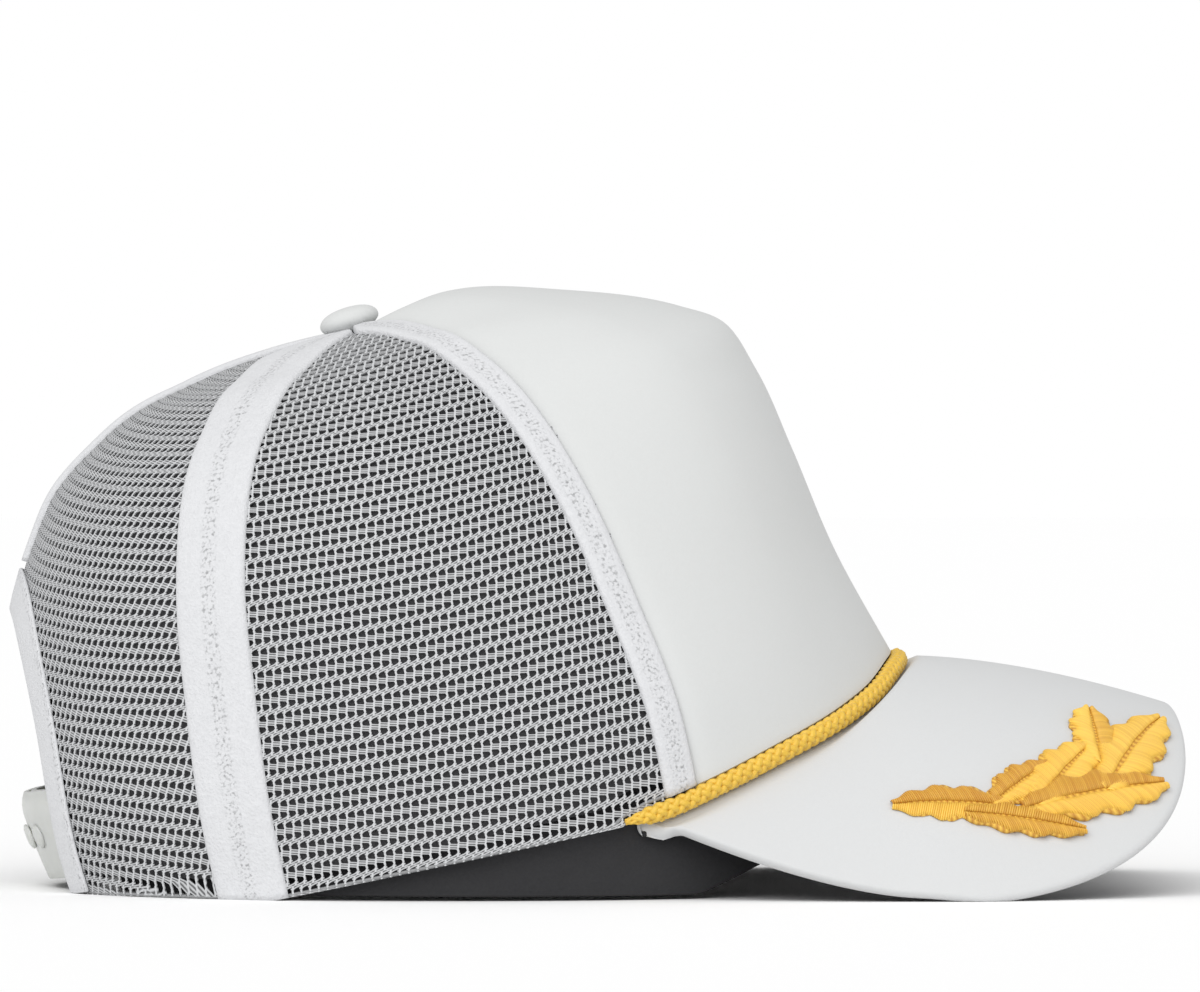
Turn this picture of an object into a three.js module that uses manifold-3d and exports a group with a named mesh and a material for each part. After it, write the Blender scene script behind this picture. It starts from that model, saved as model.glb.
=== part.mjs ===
// A white foam-front trucker cap: foam front panel, four net panels over a charcoal lining, seam tapes,
// bound back opening with a plastic snap strap, curved visor with a braided rope and two gold leaf sprays.
// Millimetres, +X forward (visor), +Y to the wearer's left, +Z up, standing on its rim and visor at z = 0.
import * as THREE from "three";
import { mergeVertices } from "three/addons/utils/BufferGeometryUtils.js";
import Module from "manifold-3d";

const wasm = await Module();
wasm.setup();

const radians = THREE.MathUtils.degToRad;
const GAP = 0.3; // clear space between neighbouring pieces

// The crown has a frame of its own, tipped back on the floor: a forward, b left, c up from the rim plane.
const CROWN_TILT = radians(12);
const RIM_X = -26;
const RIM_Z = 10.2;
const BUTTON_BACK = 4.5; // the button sits this far behind the middle of the rim

// Half of the crown as sections through the button's axis. Azimuth 0 is the front, 180 the back.
// Stations run from the rim to the button: rim, brow, wall, wall_top, shoulder, crease, top_edge, top,
// near_button, button.
const STATION_KNOTS = [0, 25, 50, 75, 95, 108, 119, 146, 174, 199];
const SECTIONS = [
  {
    azimuth: 0,
    radius: [116, 107.8, 100.2, 95.4, 91, 85.8, 76.5, 50.5, 24, 0],
    height: [0, 25, 50, 75, 95, 107.5, 113.3, 122.7, 128, 122.9],
  },
  {
    azimuth: 27,
    radius: [106, 100.6, 95, 90, 84, 78, 68.5, 45.5, 22, 0],
    height: [0, 25, 50, 75, 94.5, 105.5, 112.3, 121.8, 126.7, 122.9],
  },
  {
    azimuth: 54,
    radius: [92.3, 91.6, 85, 75.8, 65.2, 56.5, 46.5, 31, 15.5, 0],
    height: [0, 25, 49.2, 75.3, 94, 104.3, 112.3, 119.5, 123.3, 122.9],
  },
  {
    azimuth: 88,
    radius: [83.6, 82.6, 79.5, 73.5, 63.5, 55, 45, 30, 15, 0],
    height: [0, 22, 46, 72, 92, 102.5, 110.5, 118, 122, 122.9],
  },
  {
    azimuth: 122.5,
    radius: [86.4, 86.2, 82.8, 77, 67, 58.5, 48, 31.5, 16, 0],
    height: [0, 22, 45.5, 72, 92, 101.8, 109.5, 116.8, 121.3, 122.9],
  },
  {
    azimuth: 152,
    radius: [95.5, 97.3, 94.5, 87.5, 77.3, 68.4, 57, 37, 18.5, 0],
    height: [0, 22, 43.5, 71, 91.3, 101.5, 110, 118, 121.8, 122.9],
  },
  {
    azimuth: 180,
    radius: [97, 99, 97.5, 92.8, 82.7, 74.3, 61.8, 40, 19.5, 0],
    height: [0, 22, 43, 71, 91.5, 102.5, 111.2, 119, 122.3, 122.9],
  },
];
const TRAVEL_MM = 199; // full travel from rim to button on STATION_KNOTS
const TOP_END = 0.968; // panels and tapes stop here, under the button

// Seams, as azimuths either side of the middle
const FRONT_SEAM = 54;
const SIDE_SEAM = 122.5;
const BACK_SEAM = 180;

// Layers of the crown's wall, measured outwards from the section surface
const NET_WALL = 1;
const FOAM_WALL = 2.8;
const FOAM_SWELL = 1.3; // how far the foam's face stands out at the front seam
const TAPE_WALL = 1;
const LINING_OUTER = -1.4;
const LINING_WALL = 1;
const LINING_LIFT = 3; // the lining starts this far above the net
const SWEATBAND_OUTER = -3.6;
const SWEATBAND_WALL = 1.2;
const SWEATBAND_RISE = 16; // above the rim
const SWEATBAND_HANG = 22; // below it, or down to its foot
const SWEATBAND_FOOT = 1; // clear of the floor
const SWEATBAND_SHORT_DEGREES = 9; // it stops this far before the back opening
const UNDER_BUTTON_FROM = 0.86; // from this travel on, the layers pile up towards the button
const UNDER_BUTTON_FOAM = 0.9;

// Seam tapes: width before and after the seam in mm, the most degrees that each side covers near the button,
// and the extra thickness where tapes pile up under it
const FRONT_TAPE = { before: -0.2, after: 8, mostBefore: 0, mostAfter: 33, pile: 0.6 };
const SIDE_TAPE = { before: 5.6, after: 11.4, mostBefore: 33, mostAfter: 28, pile: 0 };
const BACK_TAPE = { before: 5, after: 5, mostBefore: 28, mostAfter: 28, pile: 0 };
const BACK_TAPE_CLEAR = 10; // it starts this far above the back opening

// Back opening, an arch in azimuth and travel
const ARCH_HALF_DEGREES = 22.5;
const ARCH_TOP = 0.4; // travel at the top of the opening
const ARCH_POWER = 2.4;
const BINDING_WIDE = 8.5;
const BINDING_BITE = 1.6; // its folded edge stands this far into the opening
const BINDING_INNER = LINING_OUTER - LINING_WALL - 3 * GAP;

// Visor: a sheet bent about a line that rises a little towards the front, its ridge drooping at the tip
const VISOR_X = 65.8;
const VISOR_Z = 53.5;
const VISOR_RISE = radians(6.75);
const VISOR_TIP = 69;
const VISOR_TEMPLE = -62;
const VISOR_BEND_TEMPLE = 109.6;
const VISOR_BEND_TIP = 87.4;
const VISOR_DROOP = 19.4;
const VISOR_DROOP_POWER = 1.6;
const VISOR_HALF_WIDTH = 107.4;
const VISOR_TEMPLE_HALF = 85;
const VISOR_WIDEST = 12.75;
const VISOR_NOSE_POWER = 1.39;
const VISOR_SIDE_POWER = 3.68;
const VISOR_WALL = 1.7;
const UNDERBILL_WALL = 1;
const UNDERBILL_INSET = 1.2;
const VISOR_RISE_FADE = 20; // behind the crease the rise dies away over this reach
const VISOR_END_DEGREES = 62.4;

// Rope in the crease between crown and visor. Rows: azimuth, climb up the wall in mm.
const ROPE_PATH = [
  { azimuth: 0, climb: 21.6 },
  { azimuth: 10, climb: 19.8 },
  { azimuth: 20, climb: 15.5 },
  { azimuth: 30, climb: 11.7 },
  { azimuth: 40, climb: 8.2 },
  { azimuth: 50, climb: 4.6 },
  { azimuth: 60, climb: 1.6 },
  { azimuth: 66, climb: 1 },
];
const ROPE_RADIUS = 2.2;
const ROPE_OUT = 0.5; // its centre lies this far outside the wall
const ROPE_END_DEGREES = 65.6;
const ROPE_TAPER_DEGREES = 4;
const ROPE_TIP = 0.3; // share of the radius left at the tip
const CREASE_INSIDE = 2.1; // the visor runs this far in below the rope
const CREASE_FLAT = 3.1;
const CREASE_SLOPE = 3;

// Snap strap: a flat outline bent round the back, length measured from the middle of the back
const STRAP_LOW = 12.8; // height of its lower edge in the crown's frame
const STRAP_WIDE = 21;
const STRAP_WALL = 1.2;
const STRAP_PITCH = 9.5;
const STRAP_TUCK = -4.8; // depth where it is sewn in behind the binding
const STRAP_BULGE = 5;
const STRAP_LEAN = 0.15; // its lower edge turns in by this share of its width
const STRAP_TOP_LEAN = 1.5; // its upper edge turns in this far
const STRAP_TOP_PART = 0.25; // share of the width that leans at the top
const STRAP_SEWN = 38; // length from the middle to where it is sewn down
const STRAP_TRAVEL = 24 / TRAVEL_MM;
const STRAP_COLUMNS = [-26, -25, -22.5, -17, -10, -3, 4, 11, 18, 25, 32, 41, 50];
const STRAP_END_ROUND = 0.6; // keeps the rounded end from closing to a point
const HOLE_RADIUS = 2.7;
const PEG_RADIUS = 2.1;
const PEG_HEAD_RADIUS = 2.9;
const PEG_HEAD_TALL = 1;
const PEG_PLACES = [-2.2, -1.2, -0.2, 0.8, 1.8].map((k) => k * STRAP_PITCH);

// Leaf sprays: each leaf from its foot to its tip, as reach and spread on the visor, with its full width
const LEAVES = [
  { name: "trailing", foot: [24, 81], tip: [-3.6, 82.5], width: 10 },
  { name: "short", foot: [19, 81], tip: [33.6, 65], width: 9 },
  { name: "inner", foot: [29, 79.5], tip: [44.2, 54.5], width: 12 },
  { name: "curled", foot: [46, 61], tip: [46.3, 36.8], width: 10.5 },
  { name: "leading", foot: [45.5, 70], tip: [63, 30.8], width: 12 },
  { name: "outer", foot: [26, 81.5], tip: [59.7, 61.5], width: 12 },
  { name: "lower", foot: [12, 85], tip: [39, 84], width: 8 },
];
const LEAF_LOBES = 4;
const LEAF_LOBE_DEPTH = 0.14;
const LEAF_BLUNT = 0.7; // below 1 the leaf is fuller than a sine curve
const LEAF_RISE = 1.1;
const LEAF_STEP = 0.12; // overlapping leaves lie one on another

// Button: outline as radius and height from its underside
const BUTTON_BASE = 124.8; // height of its underside in the crown's frame
const BUTTON_LEAN = radians(5);
const BUTTON_OUTLINE = [
  { radius: 0, height: 0 },
  { radius: 6.4, height: 0 },
  { radius: 7.1, height: 0.6 },
  { radius: 7, height: 1.8 },
  { radius: 6.2, height: 3 },
  { radius: 4.4, height: 3.9 },
  { radius: 2.2, height: 4.3 },
  { radius: 0, height: 4.4 },
];

function hermite(knots, values, x) {
  let i = 0;
  while (i < knots.length - 2 && x > knots[i + 1]) i += 1;
  const slope = (k) => (values[k + 1] - values[k]) / (knots[k + 1] - knots[k]);
  const tangent = (k) => {
    if (k === 0) return slope(0);
    if (k === knots.length - 1) return slope(k - 1);
    const before = knots[k] - knots[k - 1];
    const after = knots[k + 1] - knots[k];
    return (slope(k - 1) * after + slope(k) * before) / (before + after);
  };
  const step = knots[i + 1] - knots[i];
  const t = (x - knots[i]) / step;
  const t2 = t * t;
  const t3 = t2 * t;
  return (
    (2 * t3 - 3 * t2 + 1) * values[i] +
    (t3 - 2 * t2 + t) * step * tangent(i) +
    (3 * t2 - 2 * t3) * values[i + 1] +
    (t3 - t2) * step * tangent(i + 1)
  );
}

// The sections mirrored past the front and the back, so the surface is smooth across both
const MIRRORED = [
  { ...SECTIONS[1], azimuth: -SECTIONS[1].azimuth },
  ...SECTIONS,
  { ...SECTIONS[5], azimuth: 360 - SECTIONS[5].azimuth },
];
const AZIMUTHS = MIRRORED.map((row) => row.azimuth);
const meridians = new Map();
function meridian(azimuth) {
  const key = Math.round(azimuth * 1e5);
  if (!meridians.has(key)) {
    const station = (name, k) => hermite(AZIMUTHS, MIRRORED.map((row) => row[name][k]), azimuth);
    const radius = STATION_KNOTS.map((_, k) => station("radius", k));
    const height = STATION_KNOTS.map((_, k) => station("height", k));
    // one station past the button, on the far side, rounds the top
    const last = STATION_KNOTS.length - 1;
    radius.push(-radius[last - 1]);
    height.push(height[last - 1]);
    meridians.set(key, { radius, height });
  }
  return meridians.get(key);
}
const TRAVEL_KNOTS = [...STATION_KNOTS, 2 * TRAVEL_MM - STATION_KNOTS[8]];

function toPart(a, b, c) {
  return new THREE.Vector3(
    RIM_X + a * Math.cos(CROWN_TILT) - c * Math.sin(CROWN_TILT),
    b,
    RIM_Z + a * Math.sin(CROWN_TILT) + c * Math.cos(CROWN_TILT),
  );
}

function azimuthOf({ x, y, z }) {
  const ahead = (x - RIM_X) * Math.cos(CROWN_TILT) + (z - RIM_Z) * Math.sin(CROWN_TILT);
  return THREE.MathUtils.radToDeg(Math.atan2(y, ahead + BUTTON_BACK));
}

// A point of the crown: azimuth in degrees, positive to the wearer's left, and travel from rim 0 to button 1
function onSection(azimuth, travel) {
  const { radius, height } = meridian(Math.abs(azimuth));
  const r = hermite(TRAVEL_KNOTS, radius, travel * TRAVEL_MM);
  const h = hermite(TRAVEL_KNOTS, height, travel * TRAVEL_MM);
  const turn = radians(azimuth);
  return toPart(-BUTTON_BACK + r * Math.cos(turn), r * Math.sin(turn), h);
}

function crownNormal(azimuth, travel) {
  const across = onSection(azimuth + 0.2, travel).sub(onSection(azimuth - 0.2, travel));
  const up = onSection(azimuth, travel + 0.001).sub(onSection(azimuth, travel - 0.001));
  return across.cross(up).normalize();
}

function crown(azimuth, travel, depth) {
  const point = onSection(azimuth, travel).addScaledVector(crownNormal(azimuth, travel), depth);
  point.z = Math.max(point.z, 0); // cloth lies flat where it rests
  return point;
}

function radiusAt(azimuth, travel) {
  return hermite(TRAVEL_KNOTS, meridian(Math.abs(azimuth)).radius, travel * TRAVEL_MM);
}

// degrees that cover a width in mm at a place on the crown
function degreesFor(width, azimuth, travel) {
  return THREE.MathUtils.radToDeg(width / radiusAt(azimuth, travel));
}

function solve(low, high, above) {
  let [a, b] = [low, high];
  for (let i = 0; i < 40; i += 1) {
    const middle = (a + b) / 2;
    if (above(middle)) b = middle;
    else a = middle;
  }
  return (a + b) / 2;
}

// Travel where the wall stands on the floor: 0 where the rim is clear of it
function rimTravel(azimuth) {
  if (onSection(azimuth, 0).z >= 0) return 0;
  return solve(0, 0.3, (travel) => onSection(azimuth, travel).z > 0);
}

// Visor surface: reach forward and spread sideways along the cloth, to a point
function visorBend(reach) {
  const share = (reach - VISOR_TEMPLE) / (VISOR_TIP - VISOR_TEMPLE);
  return VISOR_BEND_TEMPLE + (VISOR_BEND_TIP - VISOR_BEND_TEMPLE) * share;
}

function onVisor(reach, spread) {
  const bend = visorBend(reach);
  const droop = VISOR_DROOP * Math.max(reach / VISOR_TIP, 0) ** VISOR_DROOP_POWER;
  const drop = bend * (1 - Math.cos(spread / bend)) + droop;
  const rise = (reach * Math.sin(VISOR_RISE)) / (1 + Math.max(-reach, 0) / VISOR_RISE_FADE);
  return new THREE.Vector3(
    VISOR_X + reach * Math.cos(VISOR_RISE) + drop * Math.sin(VISOR_RISE),
    bend * Math.sin(spread / bend),
    VISOR_Z + rise - drop * Math.cos(VISOR_RISE),
  );
}

function visorNormal(reach, spread) {
  const forward = onVisor(reach + 0.5, spread).sub(onVisor(reach - 0.5, spread));
  const across = onVisor(reach, spread + 0.5).sub(onVisor(reach, spread - 0.5));
  return forward.cross(across).normalize();
}

const UP = new THREE.Vector3(0, 0, 1);
function visor(reach, spread, depth) {
  const point = onVisor(reach, spread).addScaledVector(visorNormal(reach, spread), depth);
  point.z = Math.max(point.z, 0);
  return point;
}

// Reach and spread of the visor straight above or below a point
function visorUnder(point) {
  let reach = point.x - VISOR_X;
  let spread = point.y;
  for (let i = 0; i < 12; i += 1) {
    const bend = visorBend(reach);
    spread = bend * Math.asin(THREE.MathUtils.clamp(point.y / bend, -0.999, 0.999));
    reach += point.x - onVisor(reach, spread).x;
  }
  return { reach, spread };
}

function ropeClimb(azimuth) {
  const column = (name) => ROPE_PATH.map((row) => row[name]);
  return hermite(column("azimuth"), column("climb"), Math.abs(azimuth));
}

function ropeThickness(azimuth) {
  const left = (ROPE_END_DEGREES - Math.abs(azimuth)) / ROPE_TAPER_DEGREES;
  return ROPE_RADIUS * THREE.MathUtils.clamp(ROPE_TIP + (1 - ROPE_TIP) * left, ROPE_TIP, 1);
}

function ropeCentre(azimuth) {
  return crown(azimuth, ropeClimb(azimuth) / TRAVEL_MM, ROPE_OUT);
}

// Lowest travel of the wall: on top of the rope in front, on the floor or at the rim behind
const lowest = new Map();
function baseTravel(azimuth) {
  const key = Math.round(azimuth * 1e5);
  if (!lowest.has(key)) {
    const roped = Math.abs(azimuth) < ROPE_END_DEGREES + 0.5;
    const overRope = (ropeClimb(azimuth) + ropeThickness(azimuth) + GAP) / TRAVEL_MM;
    lowest.set(key, roped ? overRope : rimTravel(azimuth));
  }
  return lowest.get(key);
}

function visorHalfWidth(reach) {
  if (reach < VISOR_WIDEST) {
    const back = (VISOR_WIDEST - reach) / (VISOR_WIDEST - VISOR_TEMPLE);
    return VISOR_HALF_WIDTH - (VISOR_HALF_WIDTH - VISOR_TEMPLE_HALF) * back ** 2;
  }
  const ahead = (reach - VISOR_WIDEST) / (VISOR_TIP - VISOR_WIDEST);
  return VISOR_HALF_WIDTH * Math.max(1 - ahead ** VISOR_NOSE_POWER, 0) ** (1 / VISOR_SIDE_POWER);
}

// Edge of the visor from temple to tip; its points crowd towards the tip, where the edge turns across
const EDGE_STEPS = 48;
const VISOR_EDGE = new THREE.CatmullRomCurve3(
  Array.from({ length: EDGE_STEPS + 1 }, (_, i) => {
    const reach = VISOR_TEMPLE + (VISOR_TIP - VISOR_TEMPLE) * (1 - (1 - i / EDGE_STEPS) ** 3);
    return new THREE.Vector3(reach, visorHalfWidth(reach), 0);
  }),
);

// Share 0 at the temple, 1 at the tip, even along the edge
function visorOutline(share) {
  return VISOR_EDGE.getPointAt(THREE.MathUtils.clamp(share, 0, 1));
}

// A closed body between two faces given on one grid, face 0 the outer one
function slab(columns, rows, place) {
  const positions = [];
  const index = [];
  const size = (columns + 1) * (rows + 1);
  for (const face of [0, 1])
    for (let i = 0; i <= columns; i += 1)
      for (let j = 0; j <= rows; j += 1) positions.push(...place(i, j, face).toArray());
  const at = (i, j, face) => face * size + i * (rows + 1) + j;
  const quad = (a, b, c, d) => index.push(a, b, c, a, c, d);
  for (let i = 0; i < columns; i += 1)
    for (let j = 0; j < rows; j += 1) {
      quad(at(i, j, 0), at(i + 1, j, 0), at(i + 1, j + 1, 0), at(i, j + 1, 0));
      quad(at(i, j, 1), at(i, j + 1, 1), at(i + 1, j + 1, 1), at(i + 1, j, 1));
    }
  for (let i = 0; i < columns; i += 1) {
    quad(at(i, 0, 1), at(i + 1, 0, 1), at(i + 1, 0, 0), at(i, 0, 0));
    quad(at(i, rows, 0), at(i + 1, rows, 0), at(i + 1, rows, 1), at(i, rows, 1));
  }
  for (let j = 0; j < rows; j += 1) {
    quad(at(0, j, 0), at(0, j + 1, 0), at(0, j + 1, 1), at(0, j, 1));
    quad(at(columns, j, 1), at(columns, j + 1, 1), at(columns, j + 1, 0), at(columns, j, 0));
  }
  return facingOut(positions, index);
}

// Turns a closed body the right way round, whichever way its grid ran
function facingOut(positions, index) {
  let volume = 0;
  const corner = (k) => new THREE.Vector3().fromArray(positions, 3 * index[k]);
  for (let k = 0; k < index.length; k += 3) volume += corner(k).dot(corner(k + 1).cross(corner(k + 2)));
  if (volume < 0) index.reverse();
  const geometry = new THREE.BufferGeometry();
  geometry.setAttribute("position", new THREE.Float32BufferAttribute(positions, 3));
  geometry.setIndex(index);
  return geometry;
}

// A closed body swept along frames: section corners as [x, y] in each frame's own axes
function sweep(steps, corners, place) {
  const positions = [];
  const index = [];
  const n = corners.length;
  for (let i = 0; i <= steps; i += 1)
    for (const [x, y] of corners) positions.push(...place(i / steps, x, y).toArray());
  for (let i = 0; i < steps; i += 1)
    for (let k = 0; k < n; k += 1) {
      const [a, b] = [i * n + k, i * n + ((k + 1) % n)];
      index.push(a, b, b + n, a, b + n, a + n);
    }
  const outline = corners.map(([x, y]) => new THREE.Vector2(x, y));
  for (const [a, b, c] of THREE.ShapeUtils.triangulateShape(outline, [])) {
    index.push(c, b, a);
    index.push(steps * n + a, steps * n + b, steps * n + c);
  }
  return facingOut(positions, index);
}

function toSolid(geometry) {
  const bare = geometry.clone();
  bare.deleteAttribute("normal");
  bare.deleteAttribute("uv");
  const merged = mergeVertices(bare, 1e-3);
  return new wasm.Manifold(
    new wasm.Mesh({
      numProp: 3,
      vertProperties: merged.attributes.position.array,
      triVerts: new Uint32Array(merged.index.array),
    }),
  );
}

function toGeometry(solid) {
  const mesh = solid.getMesh();
  const geometry = new THREE.BufferGeometry();
  geometry.setAttribute("position", new THREE.Float32BufferAttribute(mesh.vertProperties, 3));
  geometry.setIndex([...mesh.triVerts]);
  return geometry;
}

function moved(geometry, place) {
  const positions = geometry.attributes.position;
  for (let i = 0; i < positions.count; i += 1) {
    const point = place(positions.getX(i), positions.getY(i), positions.getZ(i));
    positions.setXYZ(i, point.x, point.y, point.z);
  }
  return geometry;
}

// Rows of a crown panel, as travel: close together where the wall turns over into the top
const PANEL_ROWS_MM = [0, 22, 44, 66, 84, 96, 104, 112, 121, 138, 158, 176, TOP_END * TRAVEL_MM];
const PANEL_ROWS = PANEL_ROWS_MM.map((mm) => mm / TRAVEL_MM);
const SETTLED_ROW = 4; // from here up, rows keep their travel

// A panel's row, with the low rows squeezed up from where the panel starts
function rowTravel(row, start) {
  const settled = Math.max(PANEL_ROWS[SETTLED_ROW], start + 0.1);
  if (PANEL_ROWS[row] >= settled) return PANEL_ROWS[row];
  const last = PANEL_ROWS.findIndex((travel) => travel >= settled);
  return start + ((PANEL_ROWS[last] - start) * row) / last;
}

// Share of the pile under the button, 0 below UNDER_BUTTON_FROM and 1 at the top end
function underButton(travel) {
  return THREE.MathUtils.smoothstep(travel, UNDER_BUTTON_FROM, TOP_END);
}

const materials = {
  foam: new THREE.MeshStandardMaterial({ color: 0xf4f4f2, roughness: 0.9 }),
  net: new THREE.MeshStandardMaterial({ color: 0xe6e7e9, roughness: 0.8 }),
  lining: new THREE.MeshStandardMaterial({ color: 0x323234, roughness: 0.95 }),
  tape: new THREE.MeshStandardMaterial({ color: 0xf2f3f5, roughness: 0.9 }),
  visor: new THREE.MeshStandardMaterial({ color: 0xf0f0ef, roughness: 0.85 }),
  rope: new THREE.MeshStandardMaterial({ color: 0xf3bd3e, roughness: 0.55 }),
  leaf: new THREE.MeshStandardMaterial({ color: 0xf2b53a, roughness: 0.5 }),
  snap: new THREE.MeshStandardMaterial({ color: 0xe9ebe6, roughness: 0.35 }),
};

const cap = new THREE.Group();
function add(name, geometry, material) {
  const mesh = new THREE.Mesh(geometry, material);
  mesh.name = name;
  cap.add(mesh);
}

function frontPanel() {
  const columns = 18;
  const swell = (azimuth) => FOAM_SWELL * (azimuth / FRONT_SEAM) ** 2;
  return slab(columns, PANEL_ROWS.length - 1, (i, j, face) => {
    const lean = (2 * i) / columns - 1;
    const travel = rowTravel(j, baseTravel(lean * FRONT_SEAM));
    const azimuth = lean * (FRONT_SEAM - degreesFor(GAP, FRONT_SEAM, travel));
    const pile = face === 0 ? UNDER_BUTTON_FOAM * underButton(travel) : 0;
    return crown(azimuth, travel, swell(azimuth) + pile - face * FOAM_WALL);
  });
}

// Net and lining share their grids, so the gap between them is even
function sideLayer(side, outer, wall, lift) {
  const columns = 6;
  return slab(columns, PANEL_ROWS.length - 1, (i, j, face) => {
    const middle = FRONT_SEAM + ((SIDE_SEAM - FRONT_SEAM) * i) / columns;
    const travel = rowTravel(j, baseTravel(middle) + lift / TRAVEL_MM);
    const trim = degreesFor(GAP, SIDE_SEAM, travel);
    const azimuth = THREE.MathUtils.clamp(middle, FRONT_SEAM + trim, SIDE_SEAM - trim);
    return crown(side * azimuth, travel, outer - face * wall);
  });
}

// Arch edge: turn 0 at the foot on the side, a quarter turn at the top
function archEdge(turn) {
  const power = 2 / ARCH_POWER;
  const foot = rimTravel(BACK_SEAM - ARCH_HALF_DEGREES);
  return {
    azimuth: BACK_SEAM - ARCH_HALF_DEGREES * Math.max(Math.cos(turn), 0) ** power,
    travel: foot + (ARCH_TOP - foot) * Math.max(Math.sin(turn), 0) ** power,
  };
}

function backLayer(side, outer, wall, lift) {
  const plain = 5;
  const arched = 7;
  return slab(plain + arched, PANEL_ROWS.length - 1, (i, j, face) => {
    const edge = archEdge((Math.PI / 2) * Math.max((i - plain) / arched, 0));
    const middle = i <= plain ? SIDE_SEAM + ((edge.azimuth - SIDE_SEAM) * i) / plain : edge.azimuth;
    const low = rimTravel(middle) + lift / TRAVEL_MM;
    const start = i <= plain ? low : Math.max(edge.travel, low);
    const travel = rowTravel(j, start);
    const trim = degreesFor(GAP, SIDE_SEAM, travel);
    const azimuth = THREE.MathUtils.clamp(middle, SIDE_SEAM + trim, BACK_SEAM - trim);
    return crown(side * azimuth, travel, outer - face * wall);
  });
}

// A seam tape laid before and after a seam, narrowing near the button
function seamTape(side, seam, { before, after, mostBefore, mostAfter, pile }, start) {
  const columns = 2;
  return slab(columns, PANEL_ROWS.length - 1, (i, j, face) => {
    const travelAt = (azimuth) => rowTravel(j, start(azimuth));
    const near = travelAt(seam);
    const low = Math.min(degreesFor(before, seam, near), mostBefore);
    const high = Math.min(degreesFor(after, seam, near), mostAfter);
    const azimuth = seam - low + ((low + high) * i) / columns;
    const travel = travelAt(azimuth);
    const outer = GAP + TAPE_WALL + pile * underButton(travel);
    return crown(side * azimuth, travel, face === 0 ? outer : GAP);
  });
}

// The binding is folded over net and lining together; its section is given as distance out and depth
function archBinding() {
  const fold = [
    [BINDING_WIDE, GAP],
    [BINDING_WIDE, GAP + TAPE_WALL],
    [-BINDING_BITE, GAP + TAPE_WALL],
    [-BINDING_BITE, BINDING_INNER - TAPE_WALL],
    [BINDING_WIDE, BINDING_INNER - TAPE_WALL],
    [BINDING_WIDE, BINDING_INNER],
    [-2 * GAP, BINDING_INNER],
    [-2 * GAP, GAP],
  ];
  const path = (share) => {
    const turn = Math.PI * share;
    const { azimuth, travel } = archEdge(turn <= Math.PI / 2 ? turn : Math.PI - turn);
    return { azimuth: turn <= Math.PI / 2 ? azimuth : 2 * BACK_SEAM - azimuth, travel };
  };
  return sweep(22, fold, (share, out, depth) => {
    const here = path(share);
    const before = path(Math.max(share - 0.01, 0));
    const after = path(Math.min(share + 0.01, 1));
    const mmPerDegree = radians(radiusAt(BACK_SEAM, here.travel));
    const across = (after.azimuth - before.azimuth) * mmPerDegree;
    const along = new THREE.Vector2(across, (after.travel - before.travel) * TRAVEL_MM).normalize();
    const azimuth = here.azimuth - (along.y * out) / mmPerDegree;
    const wrapped = azimuth > 180 ? azimuth - 360 : azimuth;
    const travel = Math.max(here.travel + (along.x * out) / TRAVEL_MM, rimTravel(wrapped));
    return crown(wrapped, travel, depth);
  });
}

// A place on the strap: length along it, height up its width, and distance out from its inner face
function bentStrap(side, inset) {
  return (length, up, out) => {
    const bulge = STRAP_BULGE * Math.max(1 - (length / STRAP_SEWN) ** 2, 0);
    const bottomLean = STRAP_LEAN * STRAP_WIDE * (1 - up / STRAP_WIDE) ** 1.5;
    const topLean = STRAP_TOP_LEAN * Math.max((up / STRAP_WIDE - 1) / STRAP_TOP_PART + 1, 0) ** 2;
    const azimuth = 180 - THREE.MathUtils.radToDeg(length / radiusAt(BACK_SEAM, STRAP_TRAVEL));
    const sewn = radiusAt(azimuth, STRAP_TRAVEL) + STRAP_TUCK - inset;
    const r = sewn + bulge - bottomLean - topLean - STRAP_WALL + out;
    const turn = radians(azimuth);
    return toPart(-BUTTON_BACK + r * Math.cos(turn), side * r * Math.sin(turn), STRAP_LOW + up);
  };
}

function strapStrip(bend) {
  const half = STRAP_WIDE / 2;
  return toSolid(
    slab(STRAP_COLUMNS.length - 1, 2, (i, j, face) => {
      const length = STRAP_COLUMNS[i];
      const round = Math.min((length - STRAP_COLUMNS[0] + STRAP_END_ROUND) / half, 1);
      const reach = half * Math.sqrt(1 - (1 - round) ** 2);
      return bend(length, half + (j - 1) * reach, face === 0 ? STRAP_WALL : 0);
    }),
  );
}

// A turned pin across the strap, its outline as pairs of radius and height
function strapPin(profile, place, bend) {
  const pin = new THREE.LatheGeometry(profile.map(([x, y]) => new THREE.Vector2(x, y)), 8);
  pin.rotateX(Math.PI / 2);
  pin.translate(place, STRAP_WIDE / 2, 0);
  return toSolid(turned(moved(pin, bend)));
}

function strapWithHoles() {
  const bend = bentStrap(-1, 0);
  const past = 1; // the punch runs this far past both faces
  const punch = [
    [0, -past],
    [HOLE_RADIUS, -past],
    [HOLE_RADIUS, STRAP_WALL + past],
    [0, STRAP_WALL + past],
  ];
  const holes = PEG_PLACES.map((place) => strapPin(punch, place, bend));
  return toGeometry(holes.reduce((whole, hole) => whole.subtract(hole), strapStrip(bend)));
}

function strapWithPegs() {
  const bend = bentStrap(1, STRAP_WALL + 2 * GAP);
  const stem = 2 * STRAP_WALL + 3 * GAP;
  const peg = [
    [0, STRAP_WALL / 2],
    [PEG_RADIUS, STRAP_WALL / 2],
    [PEG_RADIUS, stem],
    [PEG_HEAD_RADIUS, stem],
    [PEG_HEAD_RADIUS - 0.9 * PEG_HEAD_TALL, stem + PEG_HEAD_TALL],
    [0, stem + PEG_HEAD_TALL],
  ];
  const pegs = PEG_PLACES.map((place) => strapPin(peg, -place, bend));
  return toGeometry(pegs.reduce((whole, one) => whole.add(one), strapStrip(bend)));
}

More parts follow.
